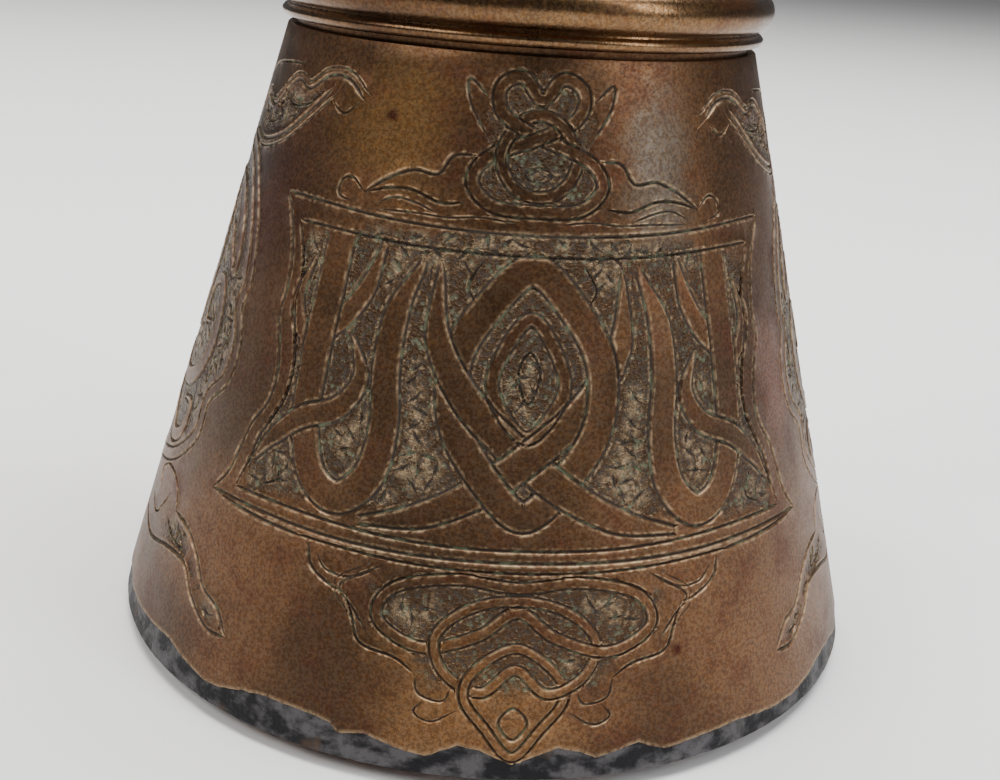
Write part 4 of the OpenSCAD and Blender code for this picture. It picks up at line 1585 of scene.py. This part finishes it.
@dataclass
class Lid:
    """The domed lid and its turned finial."""

    brim_z: float = 207.5
    brim_r: float = 51.6
    dome_r: float = 41.0
    dome_h: float = 46.0
    top_r: float = 5.5
    sheet: float = 1.2
    rod_r: float = 2.0
    collar_h: float = 5.0
    baluster_h: float = 24.48

    @property
    def collar_z(self) -> float:
        """Height of the collar's foot, on the dome."""
        return self.brim_z + self.sheet + self.dome_h

    def dome_at(self, part: float) -> float:
        """The dome's radius at a part of its height.

        Args:
            part: the part, from 0 at the foot to 1 at the top.

        Returns:
            The radius.
        """
        curve = 0.55 * math.sqrt(max(0.0, 1 - part * part)) + 0.45 * max(0.0,
                                                                         math.cos(math.pi / 2 * part)) ** 1.6
        return self.top_r + (self.dome_r - self.top_r) * curve

    def shell(self) -> bpy.types.Object:
        """The dome with its flat brim, whose edge is rounded."""
        foot = self.brim_z + self.sheet
        edge = [(self.brim_r - 0.5, self.brim_z), (self.brim_r - 0.1, self.brim_z + 0.25),
                (self.brim_r, self.brim_z + 0.6), (self.brim_r - 0.1, self.brim_z + 0.95),
                (self.brim_r - 0.5, foot), (47.0, foot), (44.0, foot - 0.04), (self.dome_r + 1.2, foot)]
        parts = [math.sin(math.pi / 2 * i / 48) for i in range(49)]
        outer = [(self.dome_at(part), foot + self.dome_h * part) for part in parts]
        inner = [(self.dome_at(part) - self.sheet, foot + (self.dome_h - self.sheet) * part)
                 for part in reversed(parts)]
        rod = [(self.rod_r, foot + self.dome_h), (self.rod_r, foot + self.dome_h - self.sheet)]
        return turned("raised_lid", edge + outer + rod + inner + [(self.dome_r - self.sheet, self.brim_z)],
                      192,
                      50, 0.2)

    def turned_part(self, name: str, outline: Sequence[Point], sharp: float = 50) -> bpy.types.Object:
        """One piece of the finial, turned smoothly round the rod.

        Args:
            name: its name.
            outline: radius and height of its outside, from the foot up.
            sharp: the angle from which its edges look sharp.

        Returns:
            The piece.
        """
        curve = smooth_path(np.asarray(outline, float), False, 0.22).tolist()
        inner = [(self.rod_r, outline[-1][1]), (self.rod_r, outline[0][1])]
        return turned(name, [tuple(point) for point in curve] + inner, 96, sharp)

    def collar(self) -> bpy.types.Object:
        """The collar on the dome."""
        z = self.collar_z
        return self.turned_part("turned_collar", [(6.1, z), (7.0, z + 0.35), (7.3, z + 1.2), (6.9, z + 1.9),
                                                  (5.4, z + 2.3), (4.3, z + 3.0), (3.9, z + 3.8),
                                                  (4.2, z + 4.5),
                                                  (4.3, z + self.collar_h)])

    def baluster(self) -> bpy.types.Object:
        """The pear-shaped baluster with a ring over it."""
        z = self.collar_z + self.collar_h
        return self.turned_part("turned_baluster", [
            (3.4, z), (3.3, z + 0.8), (4.4, z + 2.0), (6.4, z + 4.2), (7.4, z + 6.8), (7.1, z + 9.6),
            (5.6, z + 12.2), (4.0, z + 14.4), (3.0, z + 16.2), (2.9, z + 17.2), (3.6, z + 17.9),
            (4.6, z + 18.7),
            (4.7, z + 19.5), (4.0, z + 20.4), (3.0, z + 21.4), (2.9, z + 22.8), (3.2, z + self.baluster_h)])

    def bud(self) -> bpy.types.Object:
        """The pointed bud at the top."""
        z = self.collar_z + self.collar_h + self.baluster_h
        curve = smooth_path(np.array([(3.2, z), (3.9, z + 1.2), (4.6, z + 3.2), (4.4, z + 5.2),
                                      (3.0, z + 7.2),
                                      (1.3, z + 8.6), (0.5, z + 9.2), (0.0, z + 9.5)]), False, 0.22).tolist()
        inner = [(0.0, z + 4), (self.rod_r, z + 4), (self.rod_r, z)]
        return turned("turned_bud", [(max(0.0, radius), height) for radius, height in curve] + inner, 96, 50)


# ---------------------------------------------------------------------------
# Light, floor and camera
# ---------------------------------------------------------------------------


@dataclass(frozen=True)
class Lamp:
    """A soft light, placed in metres from the middle of the floor."""

    name: str
    place: tuple[float, float, float]
    target: tuple[float, float, float]
    size: tuple[float, float]
    power: float
    colour: Colour = (1.0, 1.0, 1.0)

    def build(self) -> None:
        """Adds the light to the scene."""
        data = bpy.data.lights.new(self.name, "AREA")
        data.shape = "RECTANGLE"
        data.size, data.size_y = self.size
        data.energy = self.power
        data.color = self.colour
        made = bpy.data.objects.new(self.name, data)
        made.location = self.place
        aim = Vector(self.target) - Vector(self.place)
        made.rotation_euler = aim.to_track_quat("-Z", "Y").to_euler()
        bpy.context.scene.collection.objects.link(made)


@dataclass
class Studio:
    """A pale floor, soft lights and the camera."""

    lamps: tuple[Lamp, ...] = (
        Lamp("window", (-1.2, -0.7, 1.5), (0, 0, 0.08), (1.0, 0.8), 24, (1.0, 0.97, 0.93)),
        Lamp("strip", (0.95, -0.55, 0.75), (0, 0, 0.08), (0.3, 0.9), 9, (0.96, 0.98, 1.0)),
        Lamp("ceiling", (0.1, 0.25, 1.9), (0, 0, 0.1), (1.7, 1.3), 96, (1.0, 0.99, 0.97)),
    )
    world: Colour = (0.62, 0.63, 0.65)
    world_strength: float = 0.24
    lens: float = 46.8
    eye: tuple[float, float, float] = (0.0, -0.2501, 0.1330)
    pitch: float = 19.75
    yaw: float = 0.13
    roll: float = 4.07

    def build(self) -> None:
        """Adds everything to the scene."""
        work = bmesh.new()
        bmesh.ops.create_grid(work, x_segments=8, y_segments=8, size=12)
        mesh = bpy.data.meshes.new("table_top")
        work.to_mesh(mesh)
        work.free()
        floor = bpy.data.objects.new("table_top", mesh)
        bpy.context.scene.collection.objects.link(floor)
        floor.data.materials.append(PaleFloor().build())
        for lamp in self.lamps:
            lamp.build()
        world = bpy.data.worlds.new("room")
        world.use_nodes = True
        background = world.node_tree.nodes["Background"]
        background.inputs["Color"].default_value = (*self.world, 1.0)
        background.inputs["Strength"].default_value = self.world_strength
        bpy.context.scene.world = world
        self.camera()

    def camera(self) -> None:
        """Adds the camera at its place, pitched down, turned and rolled."""
        pitch, yaw, roll = (math.radians(angle) for angle in (self.pitch, self.yaw, self.roll))
        ahead = Vector((math.sin(yaw) * math.cos(pitch), math.cos(yaw) * math.cos(pitch), -math.sin(pitch)))
        side = Vector((math.cos(yaw), -math.sin(yaw), 0))
        above = side.cross(ahead)
        across = side * math.cos(roll) + above * math.sin(roll)
        upward = above * math.cos(roll) - side * math.sin(roll)
        data = bpy.data.cameras.new("eye")
        data.lens = self.lens
        data.sensor_width = 36
        data.clip_start = 0.01
        camera = bpy.data.objects.new("eye", data)
        turn = Matrix((across, upward, -ahead)).transposed()
        camera.matrix_world = Matrix.Translation(self.eye) @ turn.to_4x4()
        bpy.context.scene.collection.objects.link(camera)
        bpy.context.scene.camera = camera


# ---------------------------------------------------------------------------
# The whole pot
# ---------------------------------------------------------------------------


def dress(piece: bpy.types.Object, material: bpy.types.Material) -> None:
    """Gives a piece one material in all its slots.

    Args:
        piece: the piece.
        material: the material.
    """
    if not piece.data.materials:
        piece.data.materials.append(material)
    for slot in piece.material_slots:
        slot.material = material


def stand_in(piece: bpy.types.Object, material: bpy.types.Material, body: Body, slot: Slot,
             *nodes: str) -> None:
    """Lets a new piece stand for solids of the frame.

    Args:
        piece: the new piece.
        material: what it is made of.
        body: the body that it moves with.
        slot: the record's material slot for the piece; not used.
        nodes: the solids that it stands for.
    """
    dress(piece, material)
    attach(piece, body)
    if nodes:
        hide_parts(*nodes)
    LOG.info("%s stands for %s", piece.name, ", ".join(nodes) or "nothing")


@dataclass(frozen=True)
class PotSizes:
    """The pot's driving sizes, in millimetres, which the solids share."""

    base_r: float = 75
    waist_r: float = 43
    cone_h: float = 113.6
    wall: float = 1.2
    base_t: float = 1.4
    heel_r: float = 3.6
    flange_h: float = 12
    groove_depth: float = 1.6
    groove_h: float = 1.4
    ring_h: float = 9
    ring_out: float = 2.4
    lip_out: float = 1.0

    @property
    def cone(self) -> Cone:
        """The outside of the lower body."""
        return Cone(self.base_r, (self.base_r - self.waist_r) / self.cone_h)

    @property
    def heel(self) -> HeelCurve:
        """The heel, which touches the inside of the lower body."""
        cone = self.cone
        inner = cone.foot_r - cone.lean * self.heel_r - self.wall * cone.slant
        return HeelCurve(inner - self.heel_r / math.cos(math.atan(cone.lean)), self.heel_r, self.heel_r)

    @property
    def collar_r(self) -> float:
        """Radius of the lower body's collar, at the foot of the groove."""
        return self.waist_r - self.groove_depth

    @property
    def ring_z(self) -> float:
        """Height of the waist ring's lower face."""
        return self.cone_h + self.groove_h


# Places where the colour of the lower body differs; the tall grey strip at turn 30 is a painted highlight
PATCHES = (
    Patch(-24, 101, 46, 15, (0.19, 0.11, 0.042), 0.6),
    Patch(0, 12, 72, 24, (0.235, 0.135, 0.065), 0.65),
    Patch(-58, 86, 50, 20, (0.10, 0.045, 0.03), 0.8),
    # Painted highlight: a tall grey strip on the right of the front, where a lamp's reflection falls
    Patch(30, 96, 47, 9, (0.105, 0.095, 0.08), 0.75, 2.8),
    Patch(57, 60, 57, 9, (0.21, 0.115, 0.09), 0.7, 2.4),
    Patch(-4, 62, 57.5, 44, (0.062, 0.042, 0.027), 0.6),
    Patch(-70, 98, 47, 16, (0.06, 0.042, 0.03), 0.7, 1.5),
    Patch(-25.3, 103, 45.5, 1.6, (0.05, 0.014, 0.01), 0.9),
    Patch(28.5, 21.5, 68.9, 1.4, (0.05, 0.014, 0.01), 0.9),
)
REPLACED = ("lower_body", "seam_solder", "base_pan", "waist_ring", "lid_shell", "finial_collar",
            "finial_baluster", "finial_bud")
CAST = ("handle_grip", "handle_upper_mount", "handle_lower_mount", "hinge_bracket", "thumb_piece", "rim_wire",
        "lid_moulding")


def lower_pot(sizes: PotSizes, copper: bpy.types.Material) -> None:
    """Builds the engraved body, the solder, the pan and the waist ring.

    Args:
        sizes: the pot's sizes.
        copper: the pan's finish.
    """
    engraved = AgedBrass("engraved_brass", engraved=True, patches=PATCHES).build()
    ringed = AgedBrass("ring_brass", golden=(0.17, 0.105, 0.055), brown=(0.07, 0.043, 0.026),
                       roughness=0.3).build()
    solder = GreySolder().build()
    cone, heel = sizes.cone, sizes.heel
    joint_z = sizes.ring_z + sizes.ring_h / 2
    body = EngravedBody(cone, sizes.cone_h, sizes.collar_r, joint_z, sizes.wall)
    stand_in(body.build(), engraved, Body.POT, Slot.SHEET, "lower_body")
    stand_in(Seam(body, heel).build(), solder, Body.POT, Slot.SOLDER, "seam_solder")
    pan = Heel(heel, sizes.base_t, sizes.flange_h, cone, sizes.wall)
    stand_in(pan.build(), copper, Body.POT, Slot.COPPER, "base_pan")
    ring = WaistRing(sizes.ring_z, sizes.ring_z + sizes.ring_h, sizes.collar_r, sizes.waist_r + sizes.lip_out,
                     sizes.waist_r + sizes.ring_out)
    stand_in(ring.build(), ringed, Body.POT, Slot.CAST, "waist_ring")


def top_of_lid(polished: bpy.types.Material) -> None:
    """Builds the lid's shell and its finial.

    Args:
        polished: the finial's finish.
    """
    lid = Lid()
    bands = (Band(212.2, 216.4, 44), Band(226, 246, 14, 0.7))
    banded = AgedBrass("lid_brass", golden=(0.21, 0.13, 0.066), bands=bands).build()
    stand_in(lid.shell(), banded, Body.LID, Slot.SHEET, "lid_shell")
    stand_in(lid.collar(), polished, Body.LID, Slot.CAST, "finial_collar")
    stand_in(lid.baluster(), polished, Body.LID, Slot.CAST, "finial_baluster")
    stand_in(lid.bud(), polished, Body.LID, Slot.CAST, "finial_bud")


def dress_rest(nodes: dict[str, bpy.types.Object], polished: bpy.types.Material,
               copper: bpy.types.Material) -> None:
    """Gives the solids that keep their own meshes their finishes.

    Args:
        nodes: the frame's solids by name.
        polished: the finish of the cast pieces.
        copper: the washer's finish.
    """
    brass = AgedBrass("plain_brass", golden=(0.19, 0.118, 0.06)).build()
    upper = AgedBrass("upper_brass", golden=(0.19, 0.118, 0.06),
                      bands=(Band(127, 132.4, 40), Band(186.6, 193.2, 44))).build()
    rivets = AgedBrass("rivet_brass", golden=(0.17, 0.10, 0.055), brown=(0.09, 0.05, 0.03)).build()
    finishes = {"upper_body": upper, "finial_washer": copper, **dict.fromkeys(CAST, polished)}
    for name, node in nodes.items():
        if name in REPLACED:
            continue
        riveted = name.endswith(("rivets", "pins", "pin", "tang"))
        dress(node, finishes.get(name, rivets if riveted else brass))


def main() -> None:
    """Loads the frame, dresses it and sets up the studio."""
    logging.basicConfig(level=logging.INFO, format="%(name)s: %(message)s")
    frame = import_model()
    Studio().build()

    copper = DarkCopper().build()
    polished = AgedBrass("handled_brass", golden=(0.24, 0.15, 0.078), brown=(0.12, 0.072, 0.04),
                         roughness=0.36).build()
    lower_pot(PotSizes(), copper)
    top_of_lid(polished)
    dress_rest(frame["nodes"], polished, copper)


if __name__ == "__main__":
    main()
